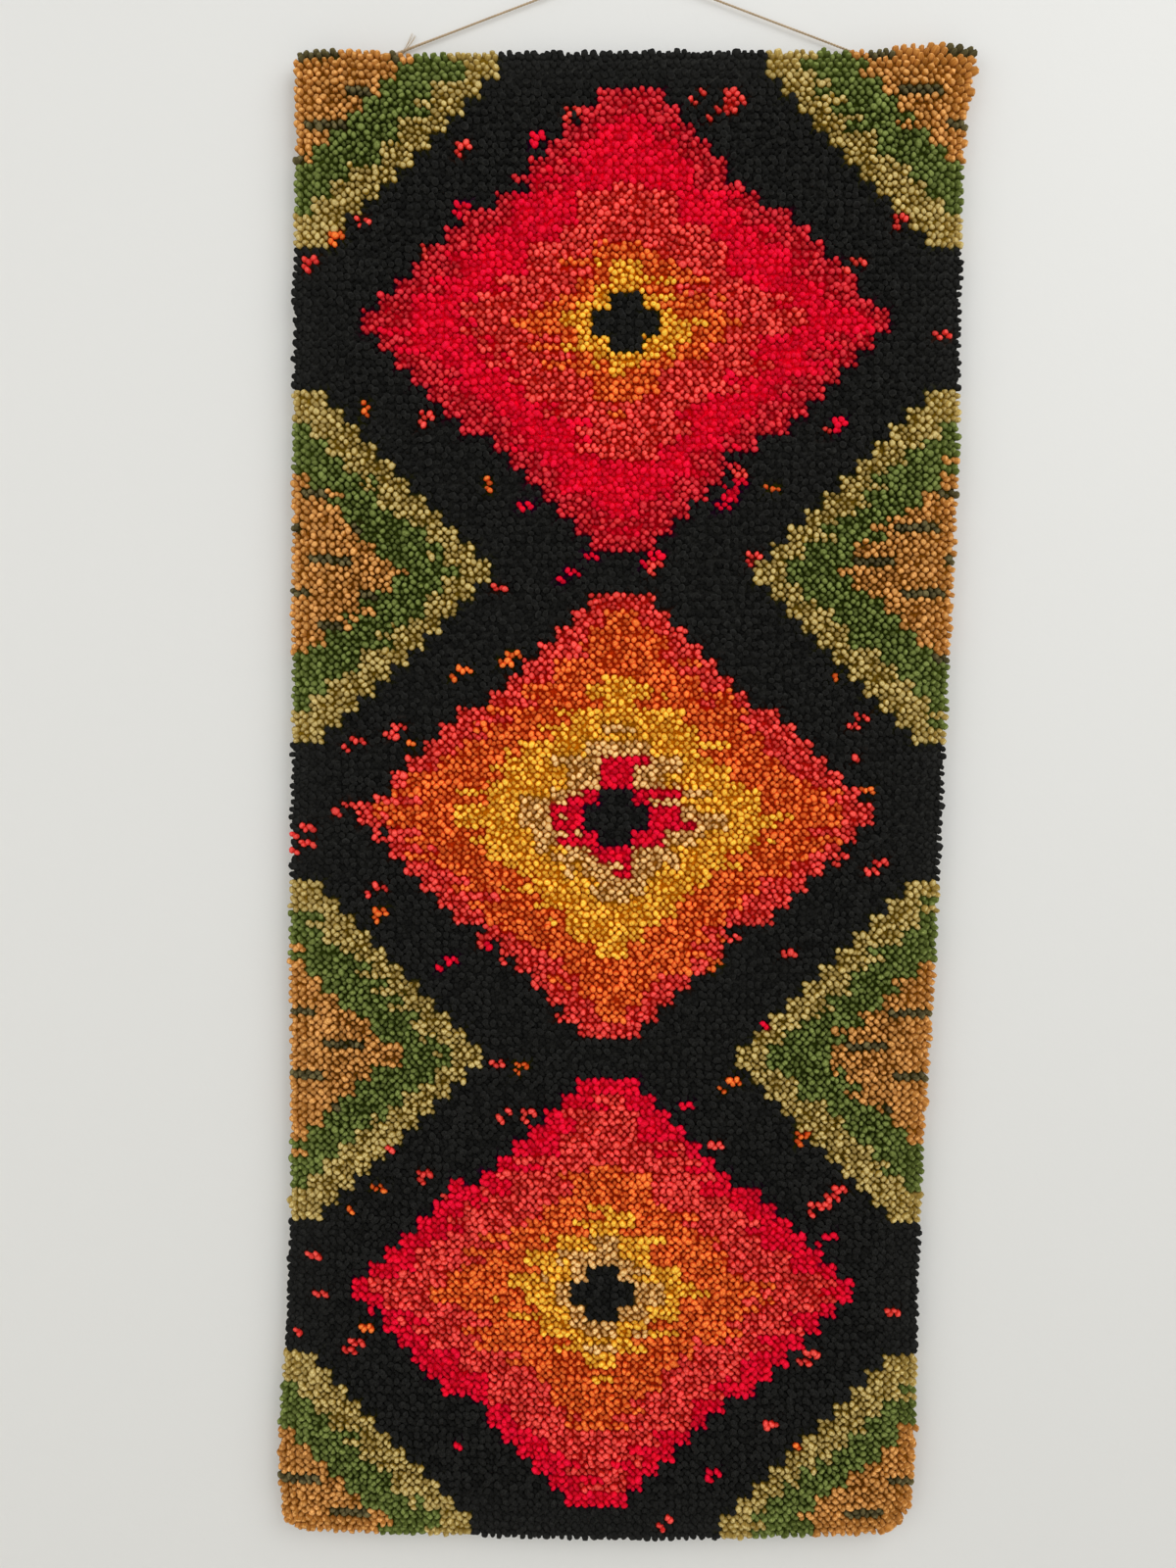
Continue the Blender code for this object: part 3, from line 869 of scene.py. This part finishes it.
def gridFaces(rows, columns):
    # two triangles facing the front for each square of a grid of points, and the way round its edge
    number = np.arange(rows * columns).reshape(rows, columns)
    p00, p10 = number[:-1, :-1].ravel(), number[:-1, 1:].ravel()
    p01, p11 = number[1:, :-1].ravel(), number[1:, 1:].ravel()
    edge = np.concatenate((number[0, :-1], number[:-1, -1], number[-1, :0:-1], number[:0:-1, 0]))
    return np.vstack((np.column_stack((p00, p01, p10)), np.column_stack((p10, p01, p11)))), edge


# The shafts below the tips: one surface with a square for each knot, in the yarns' deep colours;
# a corner takes the darkest of the knots around it
shafts = {
    "share": (0.60, 0.80),   # of the way along the ends, inside and at the edge
    "sideInset": 0.0034,
    "shade": 0.94,           # of the light left on the ends' sides
    "edgeLift": 0.1,         # how much lighter they are at the margins, where light reaches them
    "fibreScale": 700,
    "fibreTone": (0.6, 1.4),
    "roughness": 1.0,
    "specular": 0.05,
}


def makeShafts():
    # the front runs through the ends' lines at one share of the way, so it leans out with them at the
    # edges; the sides slope in to the canvas, and a fan of triangles closes the back
    inset, pileBack = shafts["sideInset"], depths["pileBack"]
    a = np.clip(np.arange(cloth["columns"] + 1) * stitchWidth, inset, clothWidth - inset)
    b = np.clip(np.arange(cloth["rows"] + 1) * stitchHeight, inset, clothHeight - inset)
    gridA, gridB = np.meshgrid(a, b)
    shiftA, shiftB, outness, _ = marginShift(gridA, gridB)
    x, z = hung(*roundedIn(gridA, gridB))
    share = between(outness, shafts["share"])
    height = 2 * share * (1 - share) * pile["bend"] + share ** 2
    height = height * riseOf(pile["length"], shiftA, shiftB)
    front = asPoints(x + share ** 2 * shiftA, pileBack - height, z - share ** 2 * shiftB).reshape(-1, 3)
    faces, edge = gridFaces(*x.shape)
    base = asPoints(x.ravel()[edge], pileBack, z.ravel()[edge])
    points = np.vstack((front, base, base.mean(axis=0, keepdims=True)))
    back = len(front) + np.arange(len(edge))
    after, backAfter = np.roll(edge, -1), np.roll(back, -1)
    triangles = np.vstack((
        faces,
        np.column_stack((edge, after, backAfter)),
        np.column_stack((edge, backAfter, back)),
        np.column_stack((back, backAfter, np.full(len(back), len(points) - 1))),
    ))
    obj = putMesh("pile_shafts", points, triangles)

    # painted shade: the yarns' deep colours times the light left on the ends' sides, lighter at the
    # margins
    shades = np.array([yarn["deep"] for yarn in yarns.values()])
    shades = shades * np.array([[yarn["sides"]] for yarn in yarns.values()]) * shafts["shade"]
    around = np.pad(shades[chart], ((1, 1), (1, 1), (0, 0)), "edge")
    shades = np.minimum.reduce((around[:-1, :-1], around[1:, :-1], around[:-1, 1:], around[1:, 1:]))
    shades = shades.reshape(-1, 3) * (1 + shafts["edgeLift"] * outness.reshape(-1, 1))
    putColours(obj, "yarn", np.vstack((shades, shades[edge], shades[:1])))
    spread = np.column_stack((gridA.ravel() / clothWidth, gridB.ravel() / clothHeight))
    spread = np.vstack((spread, spread[edge], [[0.5, 0.5]]))
    putMap(obj, between(spread[triangles.ravel()], (0.02, 0.98)))    # a little short of the map's edges

    material, tree, shader = newMaterial("wool_shafts", shafts["roughness"], shafts["specular"])
    value = toneNode(tree, noiseNode(tree, shafts["fibreScale"], 2), shafts["fibreTone"])
    colour = shadeNode(tree, attributeNode(tree, "yarn", "Color"), value)
    tree.links.new(colour, shader.inputs["Base Color"])
    return handOver(obj, material, "pile")


makeShafts()
print("shafts made")


# Rug canvas: one sheet, with its edge turned back behind it
canvas = {
    "columns": 34,
    "rows": 78,
    "hemWidth": 0.035,
    "hemFold": 0.0006,
    "hemSurface": 0.0020,        # back of the hem's sheet; its threads stand on it
    "colour": fromScreen(214, 202, 172),
    "threadEdge": (0.20, 0.35),  # of a stitch out from a hole's middle: a thread starts and is whole
    "holeShade": 0.16,           # of the threads' own colour
    "fibreScale": 900,
    "fibreTone": (0.86, 1.12),
    "fibreBump": 0.3,            # beside the threads' own
    "bump": (0.6, 0.0007),
    "roughness": 0.9,
    "specular": 0.2,
}


def canvasMaterial():
    # a woven grid on the flat cloth's own map: threads down between the knots and across under them,
    # with dark holes where neither runs
    material, tree, shader = newMaterial("canvas_cotton", canvas["roughness"], canvas["specular"])
    reader = tree.nodes.new("ShaderNodeUVMap")
    reader.uv_map = "weave"
    across, down, _ = splitNode(tree, reader.outputs["UV"])
    threads = []
    for metres, stitch, shift in ((across, stitchWidth, 0.0), (down, stitchHeight, 0.5)):
        place = mathNode(tree, "FRACT", mathNode(tree, "MULTIPLY_ADD", metres, 1 / stitch, shift))
        fromHole = mathNode(tree, "ABSOLUTE", mathNode(tree, "SUBTRACT", place, 0.5))
        threads.append(rangeNode(tree, fromHole, *canvas["threadEdge"], 0.0, 1.0, smooth=True))
    thread = mathNode(tree, "MAXIMUM", *threads)
    fibre = noiseNode(tree, canvas["fibreScale"], 3)
    value = productNode(tree, rangeNode(tree, thread, 0.0, 1.0, canvas["holeShade"], 1.0),
                        toneNode(tree, fibre, canvas["fibreTone"]))
    tree.links.new(shadeNode(tree, canvas["colour"], value), shader.inputs["Base Color"])
    weave = mathNode(tree, "MULTIPLY_ADD", fibre, canvas["fibreBump"], thread)
    bumpNode(tree, shader, weave, *canvas["bump"])
    return material


def makeCanvas():
    # a grid over the flat cloth in front and another behind, joined round their edges; the one behind
    # steps out at the hem, with a line of points just inside and just outside the step
    hem, fold = canvas["hemWidth"], canvas["hemFold"]

    def lines(size, count):
        inner = np.linspace(hem + fold, size - hem - fold, count)
        outer = np.array([0, hem / 2, hem - fold])
        return np.concatenate((outer, inner, size - outer[::-1]))

    a, b = lines(clothWidth, canvas["columns"]), lines(clothHeight, canvas["rows"])
    gridA, gridB = np.meshgrid(a, b)
    backY = np.where(fromEdges(gridA, gridB) <= hem, canvas["hemSurface"], depths["canvasBack"])
    x, z = hung(*roundedIn(gridA, gridB))
    points = np.vstack([asPoints(x, y, z).reshape(-1, 3) for y in (depths["canvasFront"], backY)])
    front, edge = gridFaces(*x.shape)
    after, behind = np.roll(edge, -1), x.size
    triangles = np.vstack((
        front,
        front[:, ::-1] + behind,
        np.column_stack((edge, after, after + behind)),
        np.column_stack((edge, after + behind, edge + behind)),
    ))
    obj = putMesh("canvas_sheet", points, triangles, smooth=False)
    flat = np.tile(np.column_stack((gridA.ravel(), gridB.ravel())), (2, 1))[triangles.ravel()]
    putMap(obj, flat, "weave")
    spread = flat / (clothWidth, clothHeight)
    onFront = np.repeat(triangles.max(axis=1) < behind, 3)
    spread[:, 0] = 0.49 * spread[:, 0] + np.where(onFront, 0.0, 0.51)    # front and back side by side
    putMap(obj, spread)
    return handOver(obj, canvasMaterial(), "canvas")


canvasPiece = makeCanvas()
print("canvas made")


# Backs of the knots: a short bar of yarn over each weft thread, seen from behind inside the hem
knotBacks = {
    "halfWidth": 0.0033,
    "halfHeight": 0.0025,
    "ridge": 0.0017,
    "rise": 0.00145,
    "sunk": 0.0001,          # its foot lies this deep in the canvas
    "clear": 0.002,          # kept off the hem's inner edge
    "sizeRange": (0.88, 1.12),
    "tiltRange": (-0.25, 0.25),
    "riseRange": (0.8, 1.1),
    "toneRange": (0.8, 1.2),
    "shade": 0.80,
    "fibreScale": 1300,
    "fibreStretch": (0.5, 1, 1.6),
    "fibreTone": (0.75, 1.2),
    "bump": (0.7, 0.0006),
    "seed": 9,
}


def makeKnotBacks():
    # each bar is a low hipped roof on the canvas: four corners and a ridge, shaded round
    row, column = (index.ravel() for index in np.mgrid[0:cloth["rows"], 0:cloth["columns"]])
    a, b = (column + 0.5) * stitchWidth, (row + 0.5) * stitchHeight
    seen = fromEdges(a, b) > canvas["hemWidth"] + knotBacks["clear"]
    x, z = hung(a[seen], b[seen])
    luck = np.random.default_rng(knotBacks["seed"]).random((len(x), 4, 1))
    wide, tall, ridge = knotBacks["halfWidth"], knotBacks["halfHeight"], knotBacks["ridge"]
    corners = np.array([(-wide, -tall), (wide, -tall), (wide, tall), (-wide, tall),
                        (-ridge, 0.0), (ridge, 0.0)])
    plan = corners[None] * between(luck[:, :1], knotBacks["sizeRange"])
    tilt = between(luck[:, 1], knotBacks["tiltRange"])
    turnedX = plan[..., 0] * np.cos(tilt) - plan[..., 1] * np.sin(tilt)
    turnedZ = plan[..., 0] * np.sin(tilt) + plan[..., 1] * np.cos(tilt)
    rise = knotBacks["rise"] * between(luck[:, 2], knotBacks["riseRange"]) * [0, 0, 0, 0, 1, 1]
    y = depths["canvasBack"] - knotBacks["sunk"] + rise
    points = asPoints(x[:, None] + turnedX, y, z[:, None] + turnedZ)
    bar = np.array([(0, 5, 1), (0, 4, 5), (2, 4, 3), (2, 5, 4),
                    (1, 5, 2), (3, 4, 0), (0, 1, 2), (0, 2, 3)])
    triangles = (bar[None] + len(corners) * np.arange(len(x))[:, None, None]).reshape(-1, 3)
    obj = putMesh("knot_backs", points.reshape(-1, 3), triangles)
    tips = np.array([yarn["tip"] for yarn in yarns.values()])[chart[row[seen], column[seen]]]
    shades = tips * knotBacks["shade"] * between(luck[:, 3], knotBacks["toneRange"])
    putColours(obj, "yarn", np.repeat(shades, len(corners), axis=0))
    putMap(obj, cellMap((corners / wide)[bar], len(x), 0, math.ceil(math.sqrt(len(x)))))

    material, tree, shader = newMaterial("wool_knot_backs", wool["roughness"], wool["specular"])
    fibre = noiseNode(tree, knotBacks["fibreScale"], 2, knotBacks["fibreStretch"])
    value = toneNode(tree, fibre, knotBacks["fibreTone"])
    colour = shadeNode(tree, attributeNode(tree, "yarn", "Color"), value)
    tree.links.new(colour, shader.inputs["Base Color"])
    putSheen(shader, wool["sheen"], wool["sheenRoughness"])
    bumpNode(tree, shader, fibre, *knotBacks["bump"])
    return handOver(obj, material)


knotBackPiece = makeKnotBacks()
print("knot backs:", len(knotBackPiece.data.polygons))


def squareTo(path):
    # two unit vectors at each point of a path, square to it and to each other, the first of them level
    along = np.gradient(path, axis=-2)
    along /= np.linalg.norm(along, axis=-1, keepdims=True)
    outward = np.cross(along, [0, 1.0, 0])
    outward /= np.maximum(np.linalg.norm(outward, axis=-1, keepdims=True), 1e-9)
    return outward, np.cross(outward, along)


def tubeSurface(paths, radius, sides, flatten=1.0):
    # rings carried along each path, square to it; flatten squeezes them along Y; ends are closed
    # paths has an axis for the tubes, one for the points along them, and one for x, y and z
    outward, upward = squareTo(paths)
    angles = math.tau * np.arange(sides) / sides
    reach = np.broadcast_to(radius, paths.shape[:2])[:, :, None, None]
    rings = paths[:, :, None] + reach * (outward[:, :, None] * np.cos(angles)[:, None]
                                         - flatten * upward[:, :, None] * np.sin(angles)[:, None])
    tubes, length = paths.shape[:2]
    points = np.concatenate((rings.reshape(tubes, -1, 3), paths[:, :1], paths[:, -1:]), axis=1)
    step, after = np.arange(sides), (np.arange(sides) + 1) % sides
    low = (np.arange(length - 1) * sides)[:, None]
    lastRing, first, last = (length - 1) * sides, length * sides, length * sides + 1
    one = np.vstack((
        np.stack((low + step, low + after, low + sides + after), axis=-1).reshape(-1, 3),
        np.stack((low + step, low + sides + after, low + sides + step), axis=-1).reshape(-1, 3),
        np.column_stack((np.full(sides, first), after, step)),
        np.column_stack((np.full(sides, last), lastRing + step, lastRing + after)),
    ))
    triangles = one[None] + (points.shape[1] * np.arange(tubes))[:, None, None]
    return points.reshape(-1, 3), triangles.reshape(-1, 3)


# The turned-back canvas: cross threads on each side, long ones round the hem, and whip stitches
hemThreads = {
    "radius": 0.00085,
    "sides": 4,
    "flatten": 0.62,
    "seat": 0.35,                # how far its middle stands off the hem, of its flattened radius
    "wave": 0.00022,
    "stepsAcross": 6,
    "stepsRound": 96,
    "foldGap": 0.0012,           # cross threads start this far in from the fold
    "innerInset": 0.0004,        # the last long thread lies this far short of the hem's inner edge
    "leastGap": 0.3,             # and no other nearer to it than this share of a stitch
    "stitchSpacing": 0.010,
    "stitchLength": 0.0085,
    "stitchRadius": 0.0005,
    "stitchSteps": 5,
    "stitchSway": 0.0012,        # uneven spacing, either way
    "stitchSlant": 0.45,         # of its length, along the edge
    "stitchReach": 0.75,         # of its length, across the edge
    "stitchShift": 0.12,         # of that reach, on towards the canvas
    "stitchFoot": 0.0002,        # its middle above the canvas,
    "stitchHump": 0.0013,        # and how much higher it lies on the hem
    "stitchFall": (1.25, 2.2),   # height over the edge, and how steeply it comes down
    "seed": 3,
}
threadFinish = {
    "colour": fromScreen(226, 214, 184),
    "fibreScale": 1100,
    "fibreTone": (0.82, 1.14),
    "cloudScale": 40,
    "cloudTone": (0.92, 1.05),
    "roughness": 0.9,
    "specular": 0.2,
    "bump": (0.6, 0.0004),
}
stitchFinish = {**threadFinish, "colour": fromScreen(236, 230, 212), "fibreScale": 2200}


def edgePath(run, over, y, atEnds):
    # run metres along an edge and over metres across it; atEnds for the top and bottom edges
    x, z = hung(*roundedIn(*((run, over) if atEnds else (over, run))))
    return asPoints(x, y, z)


def crossPaths(level):
    # from the fold to the hem's inner edge, up and down by the wave at each step, and every second
    # thread the other way up
    reach = np.linspace(hemThreads["foldGap"], canvas["hemWidth"], hemThreads["stepsAcross"])
    rows = (np.arange(cloth["rows"]) + 0.5) * stitchHeight
    columns = np.arange(1, cloth["columns"]) * stitchWidth
    parts = []
    for places, size, atEnds in ((rows, clothWidth, False), (columns, clothHeight, True)):
        upAndDown = (-1.0) ** (np.arange(len(places))[:, None] + np.arange(len(reach))[None])
        y = level + hemThreads["wave"] * upAndDown
        for over in (reach, size - reach):
            parts.append(edgePath(places[:, None], over[None], y, atEnds))
    return np.concatenate(parts)


def roundPaths(level):
    # each keeps an even distance from its own edge: between the knots' columns at the sides, along
    # their rows at the top and bottom, and one more at the hem's inner edge
    hem = canvas["hemWidth"]
    share = np.linspace(0, 1, hemThreads["stepsRound"])
    parts = []
    for length, width, stitch, first, atEnds in ((clothHeight, clothWidth, stitchWidth, 1.0, False),
                                                 (clothWidth, clothHeight, stitchHeight, 0.5, True)):
        insets = stitch * np.arange(first, hem / stitch - hemThreads["leastGap"])
        for inset in (*insets, hem - hemThreads["innerInset"]):
            for over in (inset, width - inset):
                parts.append(edgePath(inset + share * (length - 2 * inset), over, level, atEnds))
    return np.stack(parts)


def stitchPaths():
    # slanted whip stitches over the hem's inner edge, each an arch from the canvas up over the hem
    hem, spacing = canvas["hemWidth"], hemThreads["stitchSpacing"]
    slant = hemThreads["stitchLength"] * hemThreads["stitchSlant"]
    reach = hemThreads["stitchLength"] * hemThreads["stitchReach"]
    rng = np.random.default_rng(hemThreads["seed"])
    arch = np.linspace(-0.5, 0.5, hemThreads["stitchSteps"])
    lean = arch + hemThreads["stitchShift"]
    height, fall = hemThreads["stitchFall"]
    hump = hemThreads["stitchHump"] * np.clip(height - fall * lean, 0, 1)
    y = depths["canvasBack"] + hemThreads["stitchFoot"] + hump
    parts = []
    for size, width, atEnds in ((clothHeight, clothWidth, False), (clothWidth, clothHeight, True)):
        places = np.arange(hem + spacing, size - hem - spacing / 2, spacing)
        for edge, inward in ((hem, 1), (width - hem, -1)):
            sway = rng.uniform(-hemThreads["stitchSway"], hemThreads["stitchSway"], len(places))
            run = (places + sway)[:, None] + slant * arch[None]
            parts.append(edgePath(run, edge + inward * reach * lean[None], y, atEnds))
    return np.concatenate(parts)


def makeHem():
    # flattened tubes for the threads, seated on the hem, and round ones for the stitches
    radius, sides, flatten = hemThreads["radius"], hemThreads["sides"], hemThreads["flatten"]
    level = canvas["hemSurface"] + hemThreads["seat"] * radius * flatten
    surfaces = [tubeSurface(paths, radius, sides, flatten)
                for paths in (crossPaths(level), roundPaths(level))]
    points = np.concatenate([points for points, _ in surfaces])
    triangles = np.concatenate((surfaces[0][1], surfaces[1][1] + len(surfaces[0][0])))
    threads = putMesh("hem_threads", points, triangles)
    stitches = putMesh("hem_stitches", *tubeSurface(stitchPaths(), hemThreads["stitchRadius"], sides))
    return (handOver(threads, threadMaterial("canvas_thread", threadFinish)),
            handOver(stitches, threadMaterial("linen_thread", stitchFinish)))


hemPieces = makeHem()
print("hem threads and stitches:", [len(p.data.polygons) for p in hemPieces])


# Twine: the CAD's route, two plies twisted round it
twine = {
    "diameter": 0.0022,
    "plyRadius": 0.00062,
    "plyOffset": 0.00050,
    "slack": 0.40,           # the plies stand this much wider at the left knot, where they untwist
    "slackReach": 0.075,
    "pitch": 0.0058,
    "stepsPerTurn": 8,
    "sides": 6,
    "route": (
        (-0.2286, 0.0005, -0.0868), (-0.2100, 0.0001, -0.0797), (-0.1900, 0.0000, -0.0719),
        (-0.1650, 0.0000, -0.0623), (-0.1400, 0.0000, -0.0526), (-0.1150, 0.0000, -0.0429),
        (-0.0900, 0.0000, -0.0333), (-0.0650, 0.0000, -0.0236), (-0.0400, 0.0000, -0.0139),
        (-0.0200, 0.0000, -0.0062), (-0.0080, 0.0000, -0.0015), (-0.0022, 0.0000, 0.0007),
        (0.0000, 0.0000, 0.0011), (0.0022, 0.0000, 0.0007), (0.0080, 0.0000, -0.0014),
        (0.0200, 0.0000, -0.0056), (0.0400, 0.0000, -0.0127), (0.0650, 0.0000, -0.0216),
        (0.0900, 0.0000, -0.0304), (0.1150, 0.0000, -0.0393), (0.1400, 0.0000, -0.0482),
        (0.1650, 0.0000, -0.0570), (0.1900, 0.0000, -0.0659), (0.2100, 0.0001, -0.0730),
        (0.2250, 0.0005, -0.0782),
    ),
    "knotRadius": 0.00085,
    "knotSteps": 97,
    "knotSides": 8,
    "tailRoute": (
        (-0.2282, 0.0012, -0.0888), (-0.2230, 0.0018, -0.0872), (-0.2165, 0.0022, -0.0845),
        (-0.2110, 0.0022, -0.0815), (-0.2065, 0.0020, -0.0778), (-0.2025, 0.0015, -0.0730),
        (-0.1990, 0.0010, -0.0680), (-0.1965, 0.0006, -0.0625),
    ),
    "tailSteps": 40,
    "tailSides": 5,
    "tailRadius": (0.00062, 0.00020),            # of a fibre, at the knot and at its end
    # how far each fibre parts from the middle, and how it waves
    "tailFibres": ((1.0, 14), (0.55, 9), (-0.45, 11), (-0.9, 16)),
    "tailSpread": (0.0017, 0.0003, -0.0010),     # how far apart they end,
    "tailWave": (0.0003, 0.00012, -0.00018),     # and the size of their waves
}
twineFinish = {
    "colour": fromScreen(182, 160, 130),
    "fibreScale": 2600,
    "fibreTone": (0.72, 1.22),
    "cloudScale": 90,
    "cloudTone": (0.88, 1.10),
    "roughness": 0.85,
    "specular": 0.25,
    "bump": (0.8, 0.0003),
}


def runAlong(path):
    # distance along a path from its start to each of its points
    return np.concatenate(([0], np.cumsum(np.linalg.norm(np.diff(path, axis=0), axis=1))))


def smoothRoute(route, steps):
    # even points on one smooth curve through a route
    route = np.asarray(route)
    run = runAlong(route)
    places = np.linspace(0, run[-1], steps)
    return np.column_stack([smoothThrough(run, route[:, axis], places) for axis in range(3)])


def twistedPlies(path, offset, pitch):
    # each ply circles the path at offset once a pitch, half a turn from the other
    outward, upward = squareTo(path)
    turns = math.tau * runAlong(path)[:, None] / pitch
    circle = offset[:, None] * (outward * np.cos(turns) + upward * np.sin(turns))
    return np.stack((path + circle, path - circle))


def makeTwine(material):
    # two plies along the way over the nail point; a first pass over the route only measures it
    turns = runAlong(smoothRoute(twine["route"], 200))[-1] / twine["pitch"]
    path = smoothRoute(twine["route"], int(turns * twine["stepsPerTurn"]))
    wider = 1 + twine["slack"] * np.clip(1 - (path[:, 0] - path[0, 0]) / twine["slackReach"], 0, 1)
    plies = twistedPlies(path, twine["plyOffset"] * wider, twine["pitch"])
    surface = tubeSurface(plies, twine["plyRadius"] * wider[None], twine["sides"])
    obj = putMesh("hanging_twine_twisted", *surface)
    return handOver(obj, material, "hanging_twine"), path


def makeKnot(name, node, material):
    # trefoil: x is sin t + 2 sin 2t, z is cos t - 2 cos 2t and y is -sin 3t, fitted to the CAD knot's box
    low, high = (np.array(corner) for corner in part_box(node))
    half = (high - low) / 2 - twine["knotRadius"]
    t = np.linspace(0, math.tau, twine["knotSteps"])
    curve = (low + high) / 2 + half * asPoints(
        (np.sin(t) + 2 * np.sin(2 * t)) / 3, -np.sin(3 * t), (np.cos(t) - 2 * np.cos(2 * t)) / 3)
    obj = putMesh(name, *tubeSurface(curve[None], twine["knotRadius"], twine["knotSides"]))
    return handOver(obj, material, node)


def makeTail(material):
    # four fine fibres that part from each other and thin out, the outer two furthest
    path = smoothRoute(twine["tailRoute"], twine["tailSteps"])
    share = np.linspace(0, 1, len(path))[:, None]
    spread, wave = np.array(twine["tailSpread"]), np.array(twine["tailWave"])
    fibres = [path + part * (spread * share ** 1.5 + wave * np.sin(sway * share))
              for part, sway in twine["tailFibres"]]
    radius = between(share[:, 0], twine["tailRadius"])[None]
    obj = putMesh("twine_tail_frayed", *tubeSurface(np.stack(fibres), radius, twine["tailSides"]))
    return handOver(obj, material, "twine_tail_left")


twineFibre = threadMaterial("twine_fibre", twineFinish)
twinePiece, twinePath = makeTwine(twineFibre)
leftKnot = makeKnot("twine_knot_left_tied", "twine_knot_left", twineFibre)
rightKnot = makeKnot("twine_knot_right_tied", "twine_knot_right", twineFibre)
tailPiece = makeTail(twineFibre)


# Stage: a pale wall just behind, a pale floor, and soft light from the upper right
stage = {
    "wallColour": fromScreen(217, 217, 214),
    "wallGrain": 120,
    "wallGap": 0.0008,
    "wallSize": 6.0,
    "floorZ": -2.0,
    "floorColour": fromScreen(222, 220, 214),
    "floorGrain": 60,
    "roughness": 0.85,
    "specular": 0.2,
    "bump": (0.12, 0.001),
    "worldStrength": 0.71,
}


def makePlane(name, corners, material):
    mesh = bpy.data.meshes.new(name)
    mesh.from_pydata(corners, [], [(0, 1, 2, 3)])
    mesh.materials.append(material)
    obj = bpy.data.objects.new(name, mesh)
    scene.collection.objects.link(obj)
    obj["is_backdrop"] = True
    return obj


def paintMaterial(name, colour, grain):
    material, tree, shader = newMaterial(name, stage["roughness"], stage["specular"])
    fillSocket(tree, shader.inputs["Base Color"], colour)
    bumpNode(tree, shader, noiseNode(tree, grain, 2), *stage["bump"])
    return material, tree, shader


def makeStage():
    # the wall is clear from behind and throws no light or shadow of its own, so the back can be seen
    size, y, low = stage["wallSize"] / 2, depths["hemBack"] + stage["wallGap"], stage["floorZ"]
    wallPaint, tree, shader = paintMaterial("wall_paint", stage["wallColour"], stage["wallGrain"])
    clear = tree.nodes.new("ShaderNodeBsdfTransparent")
    side = tree.nodes.new("ShaderNodeNewGeometry")
    mix = tree.nodes.new("ShaderNodeMixShader")
    tree.links.new(side.outputs["Backfacing"], mix.inputs[0])
    tree.links.new(shader.outputs[0], mix.inputs[1])
    tree.links.new(clear.outputs[0], mix.inputs[2])
    tree.links.new(mix.outputs[0], tree.nodes["Material Output"].inputs["Surface"])
    upright = [(-size, y, low), (size, y, low), (size, y, size), (-size, y, size)]
    wall = makePlane("wall", upright, wallPaint)
    wall.visible_diffuse = False
    wall.visible_glossy = False
    wall.visible_transmission = False
    wall.visible_shadow = False
    floorPaint = paintMaterial("floor_paint", stage["floorColour"], stage["floorGrain"])[0]
    flat = [(-size, -size, low), (size, -size, low), (size, size, low), (-size, size, low)]
    makePlane("floor", flat, floorPaint)
    scene.world = bpy.data.worlds.new("studio")
    scene.world.use_nodes = True
    background = scene.world.node_tree.nodes["Background"]
    background.inputs["Color"].default_value = (1, 1, 1, 1)
    background.inputs["Strength"].default_value = stage["worldStrength"]


# Soft boxes: place, what they point at, size, power and colour
lights = {
    "key": {"place": (1.7, -1.9, 1.0), "target": (0.0, 0.0, -0.75), "size": 2.4,
            "power": 44, "colour": (0.985, 0.99, 1.0)},
    "fill": {"place": (-2.2, -2.0, -0.3), "target": (0.0, 0.0, -0.8), "size": 2.4,
             "power": 19, "colour": (1.0, 0.985, 0.955)},
    "behind": {"place": (0.6, 2.6, 0.2), "target": (0.0, 0.0, -0.8), "size": 2.2,
               "power": 24, "colour": (1.0, 1.0, 1.0)},
}


def makeLight(name, settings):
    # its back points from the target to its place, and its side lies level
    data = bpy.data.lights.new(name, "AREA")
    data.size = settings["size"]
    data.energy = settings["power"]
    data.color = settings["colour"]
    obj = bpy.data.objects.new(name, data)
    scene.collection.objects.link(obj)
    place, target = np.array(settings["place"]), np.array(settings["target"])
    back = (place - target) / np.linalg.norm(place - target)
    side = np.cross([0, 0, 1.0], back)
    side /= np.linalg.norm(side)
    turn = Matrix(np.column_stack((side, np.cross(back, side), back)).tolist()).to_4x4()
    obj.matrix_world = Matrix.Translation(settings["place"]) @ turn


makeStage()
for lightName, settings in lights.items():
    makeLight(lightName, settings)
triangles = sum(len(piece.data.polygons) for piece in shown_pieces() if piece.type == "MESH")
print("stage and lights made; triangles:", triangles)
